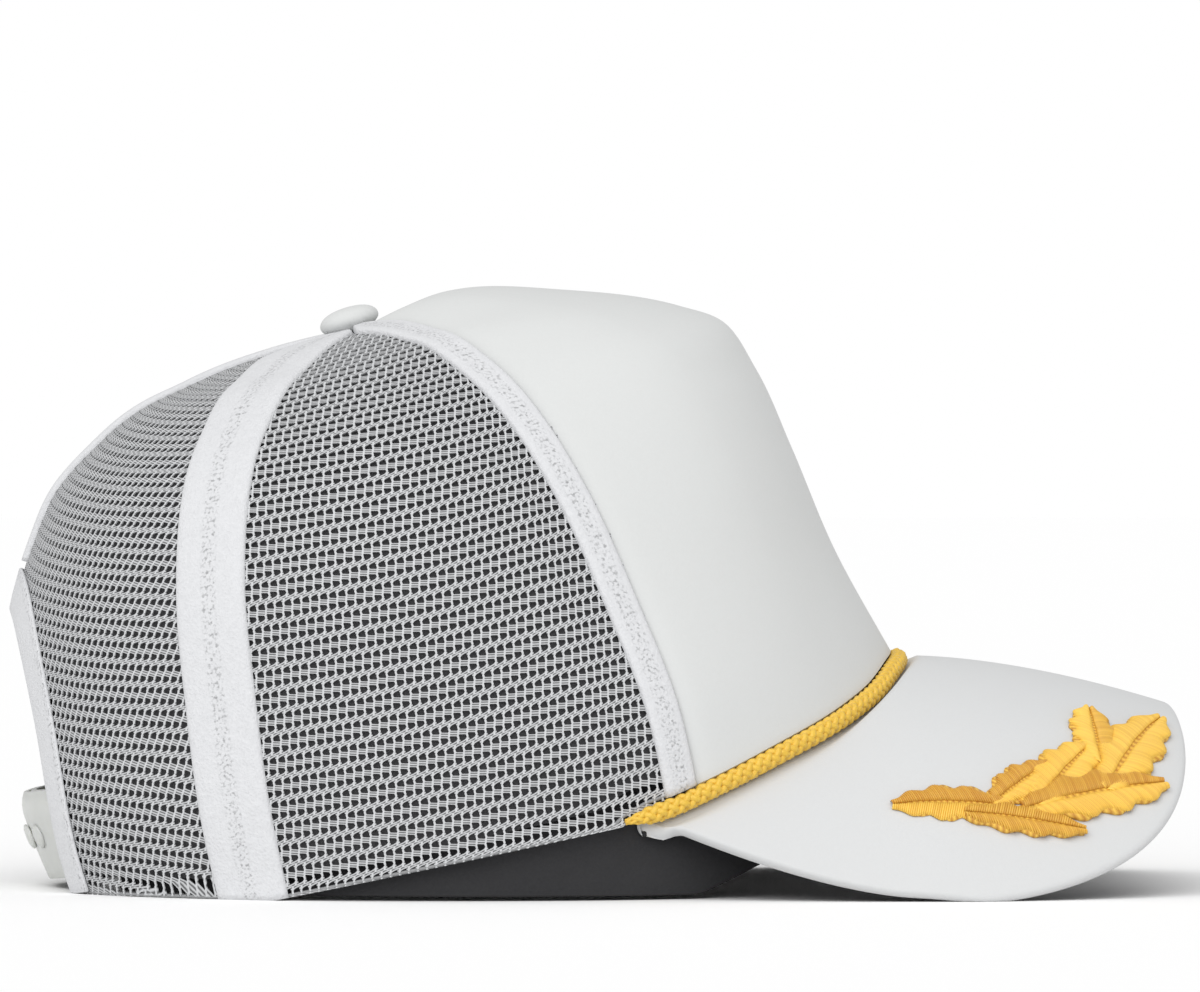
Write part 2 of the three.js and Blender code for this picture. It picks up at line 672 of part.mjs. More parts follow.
// The same body, turned the right way round
function turned(geometry) {
  return facingOut([...geometry.attributes.position.array], [...geometry.index.array]);
}

// Each column of the visor runs from below the rope to the edge; the crease lets the rope lie in the corner
function visorColumn(lean) {
  const azimuth = lean * VISOR_END_DEGREES;
  const centre = ropeCentre(azimuth);
  const inner = visorUnder(crown(azimuth, ropeClimb(azimuth) / TRAVEL_MM, ROPE_OUT - CREASE_INSIDE));
  const edge = visorOutline(1 - Math.abs(lean));
  const outer = { reach: edge.x, spread: lean === 0 ? 0 : Math.sign(lean) * edge.y };
  const { reach, spread } = visorUnder(centre);
  const below = (ROPE_RADIUS + 1.5 * GAP) / visorNormal(reach, spread).z;
  const crease = Math.max(onVisor(reach, spread).z - centre.z + below, 0);
  const length = Math.hypot(outer.reach - inner.reach, outer.spread - inner.spread);
  return { inner, outer, crease, length };
}

function visorLayer(top, wall, inset) {
  const columns = 28;
  const rows = 6;
  return slab(columns, rows, (i, j, face) => {
    const { inner, outer, crease, length } = visorColumn((2 * i) / columns - 1);
    const margin = Math.min(CREASE_FLAT + CREASE_SLOPE, length / 3);
    const beyond = (length - inset - margin) * Math.max(j - 2, 0);
    const along = margin * Math.min(j / 2, 1) + beyond / (rows - 2);
    const share = along / length;
    const reach = THREE.MathUtils.lerp(inner.reach, outer.reach, share);
    const spread = THREE.MathUtils.lerp(inner.spread, outer.spread, share);
    const dip = crease * THREE.MathUtils.clamp((CREASE_FLAT + CREASE_SLOPE - along) / CREASE_SLOPE, 0, 1);
    const depth = top - face * wall;
    // depth runs straight down in the crease and turns square to the cloth outside it
    const outwards = UP.clone().lerp(visorNormal(reach, spread), Math.min(j / 3, 1));
    const point = onVisor(reach, spread).addScaledVector(outwards, depth);
    point.z = Math.max(point.z - dip, 0);
    return point;
  });
}

function rope() {
  const knots = 36;
  const steps = 42;
  const sides = 8;
  const lean = Array.from({ length: knots + 1 }, (_, i) => (2 * i) / knots - 1);
  const curve = new THREE.CatmullRomCurve3(lean.map((share) => ropeCentre(ROPE_END_DEGREES * share)));
  const turns = Array.from({ length: sides }, (_, k) => (2 * Math.PI * k) / sides);
  const ring = turns.map((turn) => [Math.cos(turn), Math.sin(turn)]);
  return sweep(steps, ring, (share, x, y) => {
    const along = curve.getTangentAt(share);
    const side = along.clone().cross(UP).normalize();
    const rise = side.clone().cross(along);
    const centre = curve.getPointAt(share);
    const thick = ropeThickness(azimuthOf(centre));
    return centre.addScaledVector(side, x * thick).addScaledVector(rise, y * thick);
  });
}

function leafSolid({ foot, tip, width }, side, order) {
  const steps = 8;
  const floor = GAP + LEAF_STEP * order;
  const along = new THREE.Vector2(tip[0] - foot[0], tip[1] - foot[1]);
  const across = new THREE.Vector2(-along.y, along.x).normalize();
  return slab(steps, 1, (i, j, face) => {
    const share = i / steps;
    const body = Math.sin(Math.PI * (0.06 + 0.9 * share ** 0.9)) ** LEAF_BLUNT;
    const lobe = 1 + LEAF_LOBE_DEPTH * Math.sin(2 * Math.PI * LEAF_LOBES * share);
    const half = (width / 2) * body * lobe;
    const reach = foot[0] + along.x * share + across.x * half * (2 * j - 1);
    const spread = foot[1] + along.y * share + across.y * half * (2 * j - 1);
    return visor(reach, side * spread, floor + (face === 0 ? LEAF_RISE : 0));
  });
}

function leafSpray(side) {
  const solids = LEAVES.map((leaf, order) => toSolid(leafSolid(leaf, side, order)));
  return toGeometry(solids.reduce((whole, leaf) => whole.add(leaf)));
}

// Rises inside the crown and hangs straight down from the rim where the rim is off the floor
function sweatband() {
  const columns = 22;
  const rows = 2;
  const end = BACK_SEAM - ARCH_HALF_DEGREES - SWEATBAND_SHORT_DEGREES;
  return slab(columns, rows, (i, j, face) => {
    const azimuth = end * ((2 * i) / columns - 1);
    const roped = Math.abs(azimuth) < ROPE_END_DEGREES ? Math.max(ropeClimb(azimuth) - ROPE_RADIUS, 0) : 0;
    const low = Math.max(roped / TRAVEL_MM, rimTravel(azimuth)) + SWEATBAND_FOOT / TRAVEL_MM;
    const travel = low + ((SWEATBAND_RISE / TRAVEL_MM) * j) / rows;
    const point = crown(azimuth, travel, SWEATBAND_OUTER - face * SWEATBAND_WALL);
    if (j === 0) point.z = Math.max(point.z - SWEATBAND_HANG, SWEATBAND_FOOT);
    return point;
  });
}

function button() {
  const outline = BUTTON_OUTLINE.map(({ radius, height }) => new THREE.Vector2(radius, height));
  const geometry = new THREE.LatheGeometry(outline, 14);
  geometry.rotateX(Math.PI / 2);
  geometry.rotateY(-BUTTON_LEAN); // follows the slope of the top
  const solid = toGeometry(toSolid(geometry));
  return turned(moved(solid, (x, y, z) => toPart(x - BUTTON_BACK, y, z + BUTTON_BASE)));
}

add("front_panel", frontPanel(), materials.foam);
for (const [word, side] of [["right", -1], ["left", 1]]) {
  add(`side_net_${word}`, sideLayer(side, 0, NET_WALL, 0), materials.net);
  add(`back_net_${word}`, backLayer(side, 0, NET_WALL, 0), materials.net);
  add(`side_lining_${word}`, sideLayer(side, LINING_OUTER, LINING_WALL, LINING_LIFT), materials.lining);
  add(`back_lining_${word}`, backLayer(side, LINING_OUTER, LINING_WALL, LINING_LIFT), materials.lining);
  add(`front_seam_tape_${word}`, seamTape(side, FRONT_SEAM, FRONT_TAPE, baseTravel), materials.tape);
  add(`side_seam_tape_${word}`, seamTape(side, SIDE_SEAM, SIDE_TAPE, baseTravel), materials.tape);
  add(`leaf_spray_${word}`, leafSpray(side), materials.leaf);
}
const aboveArch = ARCH_TOP + BACK_TAPE_CLEAR / TRAVEL_MM;
add("back_seam_tape", seamTape(1, BACK_SEAM, BACK_TAPE, () => aboveArch), materials.tape);
add("arch_binding", archBinding(), materials.tape);
add("strap_with_holes", strapWithHoles(), materials.snap);
add("strap_with_pegs", strapWithPegs(), materials.snap);
add("visor", visorLayer(0, VISOR_WALL, 0), materials.visor);
add("underbill", visorLayer(-VISOR_WALL - GAP, UNDERBILL_WALL, UNDERBILL_INSET), materials.lining);
add("rope", rope(), materials.rope);
add("sweatband", sweatband(), materials.lining);
add("button", button(), materials.foam);

export default cap;
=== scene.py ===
# %% [markdown]
# # A white foam-front trucker cap
# The imported CAD part is the frame: it fixes every size and place. Here each cloth piece gets the surface
# that a viewer would expect, such as cut-through net, satin stitch and a braided rope.
# The frame is loaded first.

import math

import bmesh
import bpy
import numpy as np
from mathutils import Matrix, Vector


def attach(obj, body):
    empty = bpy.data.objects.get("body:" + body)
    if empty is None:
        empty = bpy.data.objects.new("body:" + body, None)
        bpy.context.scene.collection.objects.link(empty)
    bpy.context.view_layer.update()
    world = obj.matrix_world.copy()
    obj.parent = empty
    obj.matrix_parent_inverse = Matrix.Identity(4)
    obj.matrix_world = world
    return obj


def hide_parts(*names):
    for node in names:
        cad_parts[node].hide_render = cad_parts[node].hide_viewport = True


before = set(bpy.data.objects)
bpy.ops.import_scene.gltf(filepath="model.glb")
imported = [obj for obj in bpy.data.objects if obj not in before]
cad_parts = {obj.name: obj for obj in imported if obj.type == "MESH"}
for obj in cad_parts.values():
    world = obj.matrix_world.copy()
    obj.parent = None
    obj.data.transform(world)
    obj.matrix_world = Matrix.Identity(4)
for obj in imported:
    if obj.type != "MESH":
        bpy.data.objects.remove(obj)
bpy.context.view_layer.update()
MM = 0.001
BODY = "root"

# %% [markdown]
# ## The camera
# The photograph looks at the cap from the wearer's right, almost level with the table, with a long lens.
# The camera is placed by two angles and a distance round one point of the cap, so each number has a meaning.

# %% Camera
PHOTO_WIDE = 1200
PIXELS_PER_METRE = 4255.0  # at the aim point
SENSOR_WIDE = 36.0
CAMERA_AWAY = 2.0
CAMERA_TURN = math.radians(-2.0)
CAMERA_DROP = math.radians(0.1)
CAMERA_AIM = Vector((0.0022, 0.0, 0.0913))

looking = Vector(
    (
        -math.sin(CAMERA_TURN) * math.cos(CAMERA_DROP),
        math.cos(CAMERA_TURN) * math.cos(CAMERA_DROP),
        -math.sin(CAMERA_DROP),
    )
)
camera_data = bpy.data.cameras.new("camera")
camera_data.sensor_width = SENSOR_WIDE
camera_data.lens = SENSOR_WIDE * PIXELS_PER_METRE * CAMERA_AWAY / PHOTO_WIDE
camera_data.clip_start = 0.1
camera_data.clip_end = 50.0
camera = bpy.data.objects.new("camera", camera_data)
camera.location = CAMERA_AIM - looking * CAMERA_AWAY
camera.rotation_mode = "QUATERNION"
camera.rotation_quaternion = looking.to_track_quat("-Z", "Y")
bpy.context.scene.collection.objects.link(camera)
bpy.context.scene.camera = camera
print("camera at", tuple(round(x, 3) for x in camera.location), "lens", round(camera_data.lens, 1))

# %% [markdown]
# ## The crown as a surface
# All crown pieces lie on one surface, so it is written once as a function. A point is named by its azimuth
# round the head, 0 in front and 180 behind, by its travel from the rim to the button, and by how far it
# lies outside the surface. The sections repeat the part's source, in millimetres, and a smooth line is
# drawn through them.

# %% Smooth lines through knots
def smooth(knots, rows, x, each=False):
    """A smooth line through rows of values at knots. With each, every x has a column of its own in rows."""
    knots = np.asarray(knots, float)
    rows = np.asarray(rows, float)
    x = np.asarray(x, float)
    wide = rows.ndim == 2 and not each
    steps = np.diff(knots).reshape((-1,) + (1,) * (rows.ndim - 1))
    slopes = np.diff(rows, axis=0) / steps
    inner = (slopes[:-1] * steps[1:] + slopes[1:] * steps[:-1]) / (steps[1:] + steps[:-1])
    tangents = np.concatenate([slopes[:1], inner, slopes[-1:]])
    k = np.clip(np.searchsorted(knots, x) - 1, 0, len(knots) - 2)
    step = knots[k + 1] - knots[k]
    t = (x - knots[k]) / step
    if wide:
        step, t = step[:, None], t[:, None]

    def pick(values, i):
        return values[i, np.arange(len(x))] if each else values[i]

    t2, t3 = t * t, t * t * t
    low = (2 * t3 - 3 * t2 + 1) * pick(rows, k) + (t3 - 2 * t2 + t) * step * pick(tangents, k)
    high = (3 * t2 - 2 * t3) * pick(rows, k + 1) + (t3 - t2) * step * pick(tangents, k + 1)
    return low + high


# %% Crown sections
CROWN_TILT = math.radians(12)
RIM_X, RIM_Z = -26.0, 10.2
BUTTON_BACK = 4.5
TRAVEL_MM = 199.0
TOP_END = 0.968
STATIONS = [0, 25, 50, 75, 95, 108, 119, 146, 174, 199]
# azimuth: radii and heights at the stations
SECTIONS = {
    0: (
        [116, 107.8, 100.2, 95.4, 91, 85.8, 76.5, 50.5, 24, 0],
        [0, 25, 50, 75, 95, 107.5, 113.3, 122.7, 128, 122.9],
    ),
    27: (
        [106, 100.6, 95, 90, 84, 78, 68.5, 45.5, 22, 0],
        [0, 25, 50, 75, 94.5, 105.5, 112.3, 121.8, 126.7, 122.9],
    ),
    54: (
        [92.3, 91.6, 85, 75.8, 65.2, 56.5, 46.5, 31, 15.5, 0],
        [0, 25, 49.2, 75.3, 94, 104.3, 112.3, 119.5, 123.3, 122.9],
    ),
    88: (
        [83.6, 82.6, 79.5, 73.5, 63.5, 55, 45, 30, 15, 0],
        [0, 22, 46, 72, 92, 102.5, 110.5, 118, 122, 122.9],
    ),
    122.5: (
        [86.4, 86.2, 82.8, 77, 67, 58.5, 48, 31.5, 16, 0],
        [0, 22, 45.5, 72, 92, 101.8, 109.5, 116.8, 121.3, 122.9],
    ),
    152: (
        [95.5, 97.3, 94.5, 87.5, 77.3, 68.4, 57, 37, 18.5, 0],
        [0, 22, 43.5, 71, 91.3, 101.5, 110, 118, 121.8, 122.9],
    ),
    180: (
        [97, 99, 97.5, 92.8, 82.7, 74.3, 61.8, 40, 19.5, 0],
        [0, 22, 43, 71, 91.5, 102.5, 111.2, 119, 122.3, 122.9],
    ),
}
FRONT_SEAM, SIDE_SEAM, BACK_SEAM = 54.0, 122.5, 180.0
# mirrored past the front and the back, so the surface is smooth across both
AZIMUTHS = [-27, *SECTIONS, 208]
RADII = np.array([SECTIONS[27][0], *[s[0] for s in SECTIONS.values()], SECTIONS[152][0]], float)
HEIGHTS = np.array([SECTIONS[27][1], *[s[1] for s in SECTIONS.values()], SECTIONS[152][1]], float)
PAST_BUTTON = 2 * TRAVEL_MM - STATIONS[-2]
TRAVELS = [*STATIONS, PAST_BUTTON]
NEAR_DEGREES, NEAR_TRAVEL = 0.2, 0.001  # how far round and up the points lie that give a normal


print("crown:", len(SECTIONS), "sections with", len(STATIONS), "stations each")


# %% Points of the crown
def to_part(a, b, c):
    """From the crown's own tipped frame to the part's, in millimetres."""
    x = RIM_X + a * math.cos(CROWN_TILT) - c * math.sin(CROWN_TILT)
    z = RIM_Z + a * math.sin(CROWN_TILT) + c * math.cos(CROWN_TILT)
    return np.stack(np.broadcast_arrays(x, b, z), axis=-1)


def round_turns(count):
    """Angles of points evenly round a circle."""
    return np.linspace(0, 2 * math.pi, count + 1)[:-1]


def from_sections(table, beyond, azimuth, travel):
    """A value of the sections between their azimuths and stations; beyond is its sign past the button."""
    azimuth, travel = np.broadcast_arrays(np.asarray(azimuth, float), np.asarray(travel, float))
    values = smooth(AZIMUTHS, table, np.abs(azimuth).ravel())
    values = np.column_stack([values, beyond * values[:, -2]])
    return smooth(TRAVELS, values.T, travel.ravel() * TRAVEL_MM, each=True).reshape(azimuth.shape)


def radius_at(azimuth, travel):
    """Distance from the button's axis."""
    return from_sections(RADII, -1, azimuth, travel)


def height_at(azimuth, travel):
    """Height over the rim's plane, along the button's axis."""
    return from_sections(HEIGHTS, 1, azimuth, travel)


def on_section(azimuth, travel):
    r = radius_at(azimuth, travel)
    turn = np.radians(azimuth)
    return to_part(-BUTTON_BACK + r * np.cos(turn), r * np.sin(turn), height_at(azimuth, travel))


def spacing(points, axis=0):
    """Distances between neighbouring points along an axis of a grid."""
    return np.linalg.norm(np.diff(points, axis=axis), axis=-1)


def added_up(steps, axis=0):
    """Steps added up along an axis, from 0."""
    return np.concatenate([np.zeros_like(np.take(steps, [0], axis)), np.cumsum(steps, axis)], axis)


def unit(vectors):
    return vectors / np.maximum(np.linalg.norm(vectors, axis=-1, keepdims=True), 1e-12)


def crown_normal(azimuth, travel):
    across = on_section(azimuth + NEAR_DEGREES, travel) - on_section(azimuth - NEAR_DEGREES, travel)
    up = on_section(azimuth, travel + NEAR_TRAVEL) - on_section(azimuth, travel - NEAR_TRAVEL)
    return unit(np.cross(across, up))


def on_floor(points):
    """Cloth that reaches the floor lies flat on it."""
    points[..., 2] = np.maximum(points[..., 2], 0)
    return points


def crown(azimuth, travel, depth=0.0):
    """A point of the crown, depth millimetres outside its surface."""
    depth = np.asarray(depth, float)[..., None]
    return on_floor(on_section(azimuth, travel) + crown_normal(azimuth, travel) * depth)


def degrees_for(width, azimuth, travel):
    return np.degrees(width / np.maximum(radius_at(azimuth, travel), 1.0))


print("crown: front", crown(0.0, 0.25).round(1), "back", crown(180.0, 0.25).round(1))

# %% Rope line, rim and lower edge of the wall
GAP = 0.3
ROPE_AZIMUTHS = [0, 10, 20, 30, 40, 50, 60, 66]
ROPE_CLIMBS = [21.6, 19.8, 15.5, 11.7, 8.2, 4.6, 1.6, 1]
ROPE_RADIUS = 2.2
ROPE_OUT = 0.5
ROPE_END = 65.6
ROPE_TAPER = 4.0
ROPE_TIP = 0.3
PAST_ROPE = 2.0  # degrees past the rope's end in which the wall comes down to the rim
RIM_TABLE = np.arange(0, 181, 0.5)
HALVINGS, HIGHEST_FLOOR = 30, 0.3


def rope_climb(azimuth):
    return smooth(ROPE_AZIMUTHS, ROPE_CLIMBS, np.abs(np.atleast_1d(azimuth)))


def rope_thickness(azimuth):
    left = (ROPE_END - np.abs(np.atleast_1d(azimuth))) / ROPE_TAPER
    return ROPE_RADIUS * np.clip(ROPE_TIP + (1 - ROPE_TIP) * left, ROPE_TIP, 1)


def rope_centre(azimuth):
    azimuth = np.atleast_1d(np.asarray(azimuth, float))
    return crown(azimuth, rope_climb(azimuth) / TRAVEL_MM, ROPE_OUT)


def floor_travel(azimuth):
    """Travel where the wall stands on the floor, found by halving."""
    low, high = np.zeros_like(azimuth), np.full_like(azimuth, HIGHEST_FLOOR)
    for _ in range(HALVINGS):
        middle = (low + high) / 2
        above = on_section(azimuth, middle)[..., 2] > 0
        low, high = np.where(above, low, middle), np.where(above, middle, high)
    return np.where(on_section(azimuth, np.zeros_like(azimuth))[..., 2] >= 0, 0, low)


RIM_TRAVELS = floor_travel(RIM_TABLE)
over_rope = (rope_climb(RIM_TABLE) + rope_thickness(RIM_TABLE) + GAP) / TRAVEL_MM
past_rope = np.clip((RIM_TABLE - ROPE_END) / PAST_ROPE, 0, 1)
BASE_TRAVELS = over_rope * (1 - past_rope) + RIM_TRAVELS * past_rope


def folded_azimuth(azimuth):
    azimuth = np.abs(azimuth)
    return np.where(azimuth > 180, 360 - azimuth, azimuth)


def rim_travel(azimuth):
    """Travel of the rim itself, higher than 0 where it would be under the floor."""
    return np.interp(folded_azimuth(azimuth), RIM_TABLE, RIM_TRAVELS)


def base_travel(azimuth):
    """Lowest travel of the crown's wall, over the rope in front and at the rim behind."""
    return np.interp(folded_azimuth(azimuth), RIM_TABLE, BASE_TRAVELS)


print("rope centre in front", rope_centre(0)[0].round(1))

# %% [markdown]
# ## The visor as a surface
# A visor is stiff board under cloth, bent about one line. Its points are named by their reach forward
# and their spread sideways along the cloth, so a flat pattern on it keeps its shape.

# %% Visor surface
VISOR_X, VISOR_Z = 65.8, 53.5
VISOR_RISE = math.radians(6.75)
VISOR_RISE_FADE = 20.0
VISOR_TIP, VISOR_TEMPLE = 69.0, -62.0
VISOR_BEND_TEMPLE, VISOR_BEND_TIP = 109.6, 87.4
VISOR_DROOP, VISOR_DROOP_POWER = 19.4, 1.6
VISOR_HALF_WIDTH, VISOR_TEMPLE_HALF, VISOR_WIDEST = 107.4, 85.0, 12.75
VISOR_NOSE_POWER, VISOR_SIDE_POWER = 1.39, 3.68
VISOR_WALL, UNDERBILL_WALL = 1.7, 1.0
VISOR_END = 62.4


def visor_bend(reach):
    share = (reach - VISOR_TEMPLE) / (VISOR_TIP - VISOR_TEMPLE)
    return VISOR_BEND_TEMPLE + (VISOR_BEND_TIP - VISOR_BEND_TEMPLE) * share


def on_visor(reach, spread):
    bend = visor_bend(reach)
    droop = VISOR_DROOP * np.maximum(reach / VISOR_TIP, 0) ** VISOR_DROOP_POWER
    drop = bend * (1 - np.cos(spread / bend)) + droop
    rise = reach * math.sin(VISOR_RISE) / (1 + np.maximum(-reach, 0) / VISOR_RISE_FADE)
    return np.stack(
        [
            VISOR_X + reach * math.cos(VISOR_RISE) + drop * math.sin(VISOR_RISE),
            bend * np.sin(spread / bend),
            VISOR_Z + rise - drop * math.cos(VISOR_RISE),
        ],
        axis=-1,
    )


def visor_normal(reach, spread):
    forward = on_visor(reach + 0.5, spread) - on_visor(reach - 0.5, spread)
    across = on_visor(reach, spread + 0.5) - on_visor(reach, spread - 0.5)
    return unit(np.cross(forward, across))


def visor_under(points):
    """Reach and spread of the visor straight above or below points."""
    reach, spread = points[..., 0] - VISOR_X, points[..., 1].copy()
    for _ in range(12):
        bend = visor_bend(reach)
        spread = bend * np.arcsin(np.clip(points[..., 1] / bend, -0.999, 0.999))
        reach = reach + points[..., 0] - on_visor(reach, spread)[..., 0]
    return reach, spread


def visor_half_width(reach):
    back = (VISOR_WIDEST - reach) / (VISOR_WIDEST - VISOR_TEMPLE)
    behind = VISOR_HALF_WIDTH - (VISOR_HALF_WIDTH - VISOR_TEMPLE_HALF) * back**2
    ahead = np.clip((reach - VISOR_WIDEST) / (VISOR_TIP - VISOR_WIDEST), 0, 1)
    nose = VISOR_HALF_WIDTH * np.maximum(1 - ahead**VISOR_NOSE_POWER, 0) ** (1 / VISOR_SIDE_POWER)
    return np.where(reach < VISOR_WIDEST, behind, nose)


def visor_outline(share):
    """Edge of the visor as reach and spread, share 0 at the temple and 1 at the tip."""
    crowd = 1 - (1 - np.linspace(0, 1, 400)) ** 3
    reach = VISOR_TEMPLE + (VISOR_TIP - VISOR_TEMPLE) * crowd
    half = visor_half_width(reach)
    along = added_up(np.hypot(np.diff(reach), np.diff(half)))
    wanted = np.clip(share, 0, 1) * along[-1]
    return np.interp(wanted, along, reach), np.interp(wanted, along, half)


print("visor tip", on_visor(VISOR_TIP, 0.0).round(1))

# %% [markdown]
# ## Meshes from grids
# Nearly every piece here is a grid of points on one of the two surfaces. These helpers turn points into
# objects, with a UV map in metres so that a pattern keeps its size on the cloth.

# %% Objects from points
def linked(name, mesh):
    """A new object for a mesh or a light, put into the scene."""
    made = bpy.data.objects.new(name, mesh)
    bpy.context.scene.collection.objects.link(made)
    return made


def keep_numbers(mesh, numbers):
    """Stores named numbers or directions on a mesh, one row for each point."""
    for title, values in numbers.items():
        values = np.asarray(values, np.float32)
        kind = "FLOAT_VECTOR" if values.ndim == 2 else "FLOAT"
        data = mesh.attributes.new(title, kind, "POINT").data
        data.foreach_set("vector" if values.ndim == 2 else "value", values.ravel())


def new_object(name, points, faces, uvs=None, numbers=None, edges=()):
    """A mesh object from millimetre points; uvs and numbers hold one row for each point."""
    mesh = bpy.data.meshes.new(name)
    mesh.from_pydata((np.asarray(points, float).reshape(-1, 3) * MM).tolist(), list(edges), faces)
    if uvs is not None:
        corners = np.zeros(len(mesh.loops), np.int32)
        mesh.loops.foreach_get("vertex_index", corners)
        layer = mesh.uv_layers.new(name="UVMap")
        flat = (np.asarray(uvs, float).reshape(-1, 2))[corners]
        layer.data.foreach_set("uv", flat.astype(np.float32).ravel())
    keep_numbers(mesh, numbers or {})
    mesh.update()
    return linked(name, mesh)


def from_shape(name, shape):
    """An object from a finished bmesh."""
    mesh = bpy.data.meshes.new(name)
    shape.to_mesh(mesh)
    shape.free()
    return linked(name, mesh)


def flat_map(across, along):
    """A UV map in metres from two grids of millimetres."""
    return np.stack(np.broadcast_arrays(across, along), axis=-1) * MM


def grid_faces(columns, rows, first=0, flip=False):
    """Quads of a grid of columns by rows points, numbered column by column."""
    i, j = np.meshgrid(np.arange(columns - 1), np.arange(rows - 1), indexing="ij")
    a = (first + i * rows + j).ravel()
    quads = np.stack([a, a + rows, a + rows + 1, a + 1], axis=1)
    return (quads[:, ::-1] if flip else quads).tolist()


# %% [markdown]
# ## Closed walls and bodies
# Cloth has a thickness, so a piece is a closed wall: a face on each side and a rim round it. Round things,
# such as pegs and threads, are bodies through rings of points. A bevel then rounds the sharp rims, as cloth
# is never sharp at its edge.

# %% Walls, bodies and rounded edges
def wall(name, outer, inner, uvs):
    """A closed wall between two grids of points, columns by rows; its faces point outwards."""
    columns, rows = outer.shape[:2]
    size = columns * rows
    faces = grid_faces(columns, rows) + grid_faces(columns, rows, size, flip=True)
    i, j = np.arange(columns - 1) * rows, np.arange(rows - 1)
    last = (columns - 1) * rows
    for low, step, start, turn in (
        (i, rows, 0, True),
        (i, rows, rows - 1, False),
        (j, 1, 0, False),
        (j, 1, last, True),
    ):
        a = low + start
        ring = np.stack([a, a + step, a + step + size, a + size], axis=1)
        faces += (ring[:, ::-1] if turn else ring).tolist()
    points = np.concatenate([outer.reshape(-1, 3), inner.reshape(-1, 3)])
    made = new_object(name, points, faces, np.tile(uvs.reshape(-1, 2), (2, 1)))
    point_outwards(made)
    return made


def point_outwards(made):
    """Recalculates a closed mesh's normals, and turns it if its volume is negative."""
    shape = bmesh.new()
    shape.from_mesh(made.data)
    bmesh.ops.recalc_face_normals(shape, faces=shape.faces)
    if shape.calc_volume(signed=True) < 0:
        bmesh.ops.reverse_faces(shape, faces=shape.faces)
    shape.to_mesh(made.data)
    shape.free()


def ring_body(name, rings, uvs=None):
    """A closed body through rings of points, capped at both ends."""
    steps, size = rings.shape[:2]
    i, k = np.meshgrid(np.arange(steps - 1), np.arange(size), indexing="ij")
    a, b = (i * size + k).ravel(), (i * size + (k + 1) % size).ravel()
    faces = np.stack([a, b, b + size, a + size], axis=1).tolist()
    faces.append(list(range(size))[::-1])
    faces.append(list(range((steps - 1) * size, steps * size)))
    made = new_object(name, rings, faces, uvs)
    point_outwards(made)
    return made


def settled(made):
    """The object with its modifiers applied, as a plain mesh."""
    graph = bpy.context.evaluated_depsgraph_get()
    graph.update()
    mesh = bpy.data.meshes.new_from_object(made.evaluated_get(graph))
    made.modifiers.clear()
    made.data = mesh
    return made


def rounded(made, width, segments=3, angle=50):
    """Rounds the sharp edges of a wall, width in millimetres."""
    bevel = made.modifiers.new("rounded edge", "BEVEL")
    bevel.width = width * MM
    bevel.segments = segments
    bevel.limit_method = "ANGLE"
    bevel.angle_limit = math.radians(angle)
    bevel.harden_normals = False
    settled(made)
    made.data.shade_smooth()
    return made


# %% [markdown]
# ## A finished piece
# Each piece rides on the cap's one body, gets its material and hides the CAD solid that it stands for. How
# large a sheet was cut is measured along its own surface.

# %% Finished pieces and cut sizes
def dressed(made, material, slot, *nodes):
    """Gives a finished piece its material and its body, and hides the CAD nodes that it stands for."""
    made.data.materials.clear()
    made.data.materials.append(material)
    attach(made, BODY)
    if nodes:
        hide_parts(*nodes)
    made.data.calc_loop_triangles()
    print(made.name, len(made.data.loop_triangles), "triangles")
    return made


def cut_size(grid):
    """Width, length and area in metres of the cloth that a grid of points was cut from."""
    wide = spacing(grid, 0).sum(axis=0).max()
    tall = spacing(grid, 1).sum(axis=1).max()
    across, along = grid[1:, :-1] - grid[:-1, :-1], grid[:-1, 1:] - grid[:-1, :-1]
    area = np.linalg.norm(np.cross(across, along), axis=-1).sum()
    return wide * MM, tall * MM, area * MM**2


def cut_from(piece, size, held, *rests_on):
    """Returns the sheet as it is. The size that it was cut to is not used."""
    return piece


# %% [markdown]
# ## Helpers for node trees
# Material and geometry trees are built in the script, so each node's inputs can be read beside its name.
# The net, the braid and the leaves are geometry trees with named inputs. Each is run on an object, and the
# result is kept as a plain mesh.

# %% Nodes and their links
def new_tree(name, kind="GeometryNodeTree", inputs=(), outputs=()):
    """A node group with named inputs, given as name, socket type and value, and named outputs."""
    tree = bpy.data.node_groups.new(name, kind)
    for title, socket, value in inputs:
        made = tree.interface.new_socket(title, in_out="INPUT", socket_type="NodeSocket" + socket)
        if value is not None:
            made.default_value = value
    for title, socket in outputs:
        tree.interface.new_socket(title, in_out="OUTPUT", socket_type="NodeSocket" + socket)
    return tree


def add_node(tree, kind, inputs=(), **settings):
    """A node with its settings made, and its inputs, by place or name, linked or set."""
    made = tree.nodes.new(kind)
    for title, value in settings.items():
        setattr(made, title, value)
    for key, value in dict(inputs).items():
        socket = made.inputs[key]
        if isinstance(value, bpy.types.NodeSocket):
            tree.links.new(value, socket)
        else:
            socket.default_value = value
    return made


def maths(tree, operation, a, b=None, c=None):
    """One sum or function of up to three numbers."""
    given = {i: x for i, x in enumerate((a, b, c)) if x is not None}
    return add_node(tree, "ShaderNodeMath", given, operation=operation).outputs[0]


def vector_maths(tree, operation, a, b=None, scale=None):
    """One step of vector maths; dot products, lengths and distances give a number."""
    given = {i: x for i, x in enumerate((a, b)) if x is not None}
    if scale is not None:
        given["Scale"] = scale
    made = add_node(tree, "ShaderNodeVectorMath", given, operation=operation)
    return made.outputs["Value" if operation in ("DOT_PRODUCT", "LENGTH", "DISTANCE") else "Vector"]


def split(tree, vector):
    """The three numbers of a vector."""
    return add_node(tree, "ShaderNodeSeparateXYZ", {0: vector}).outputs


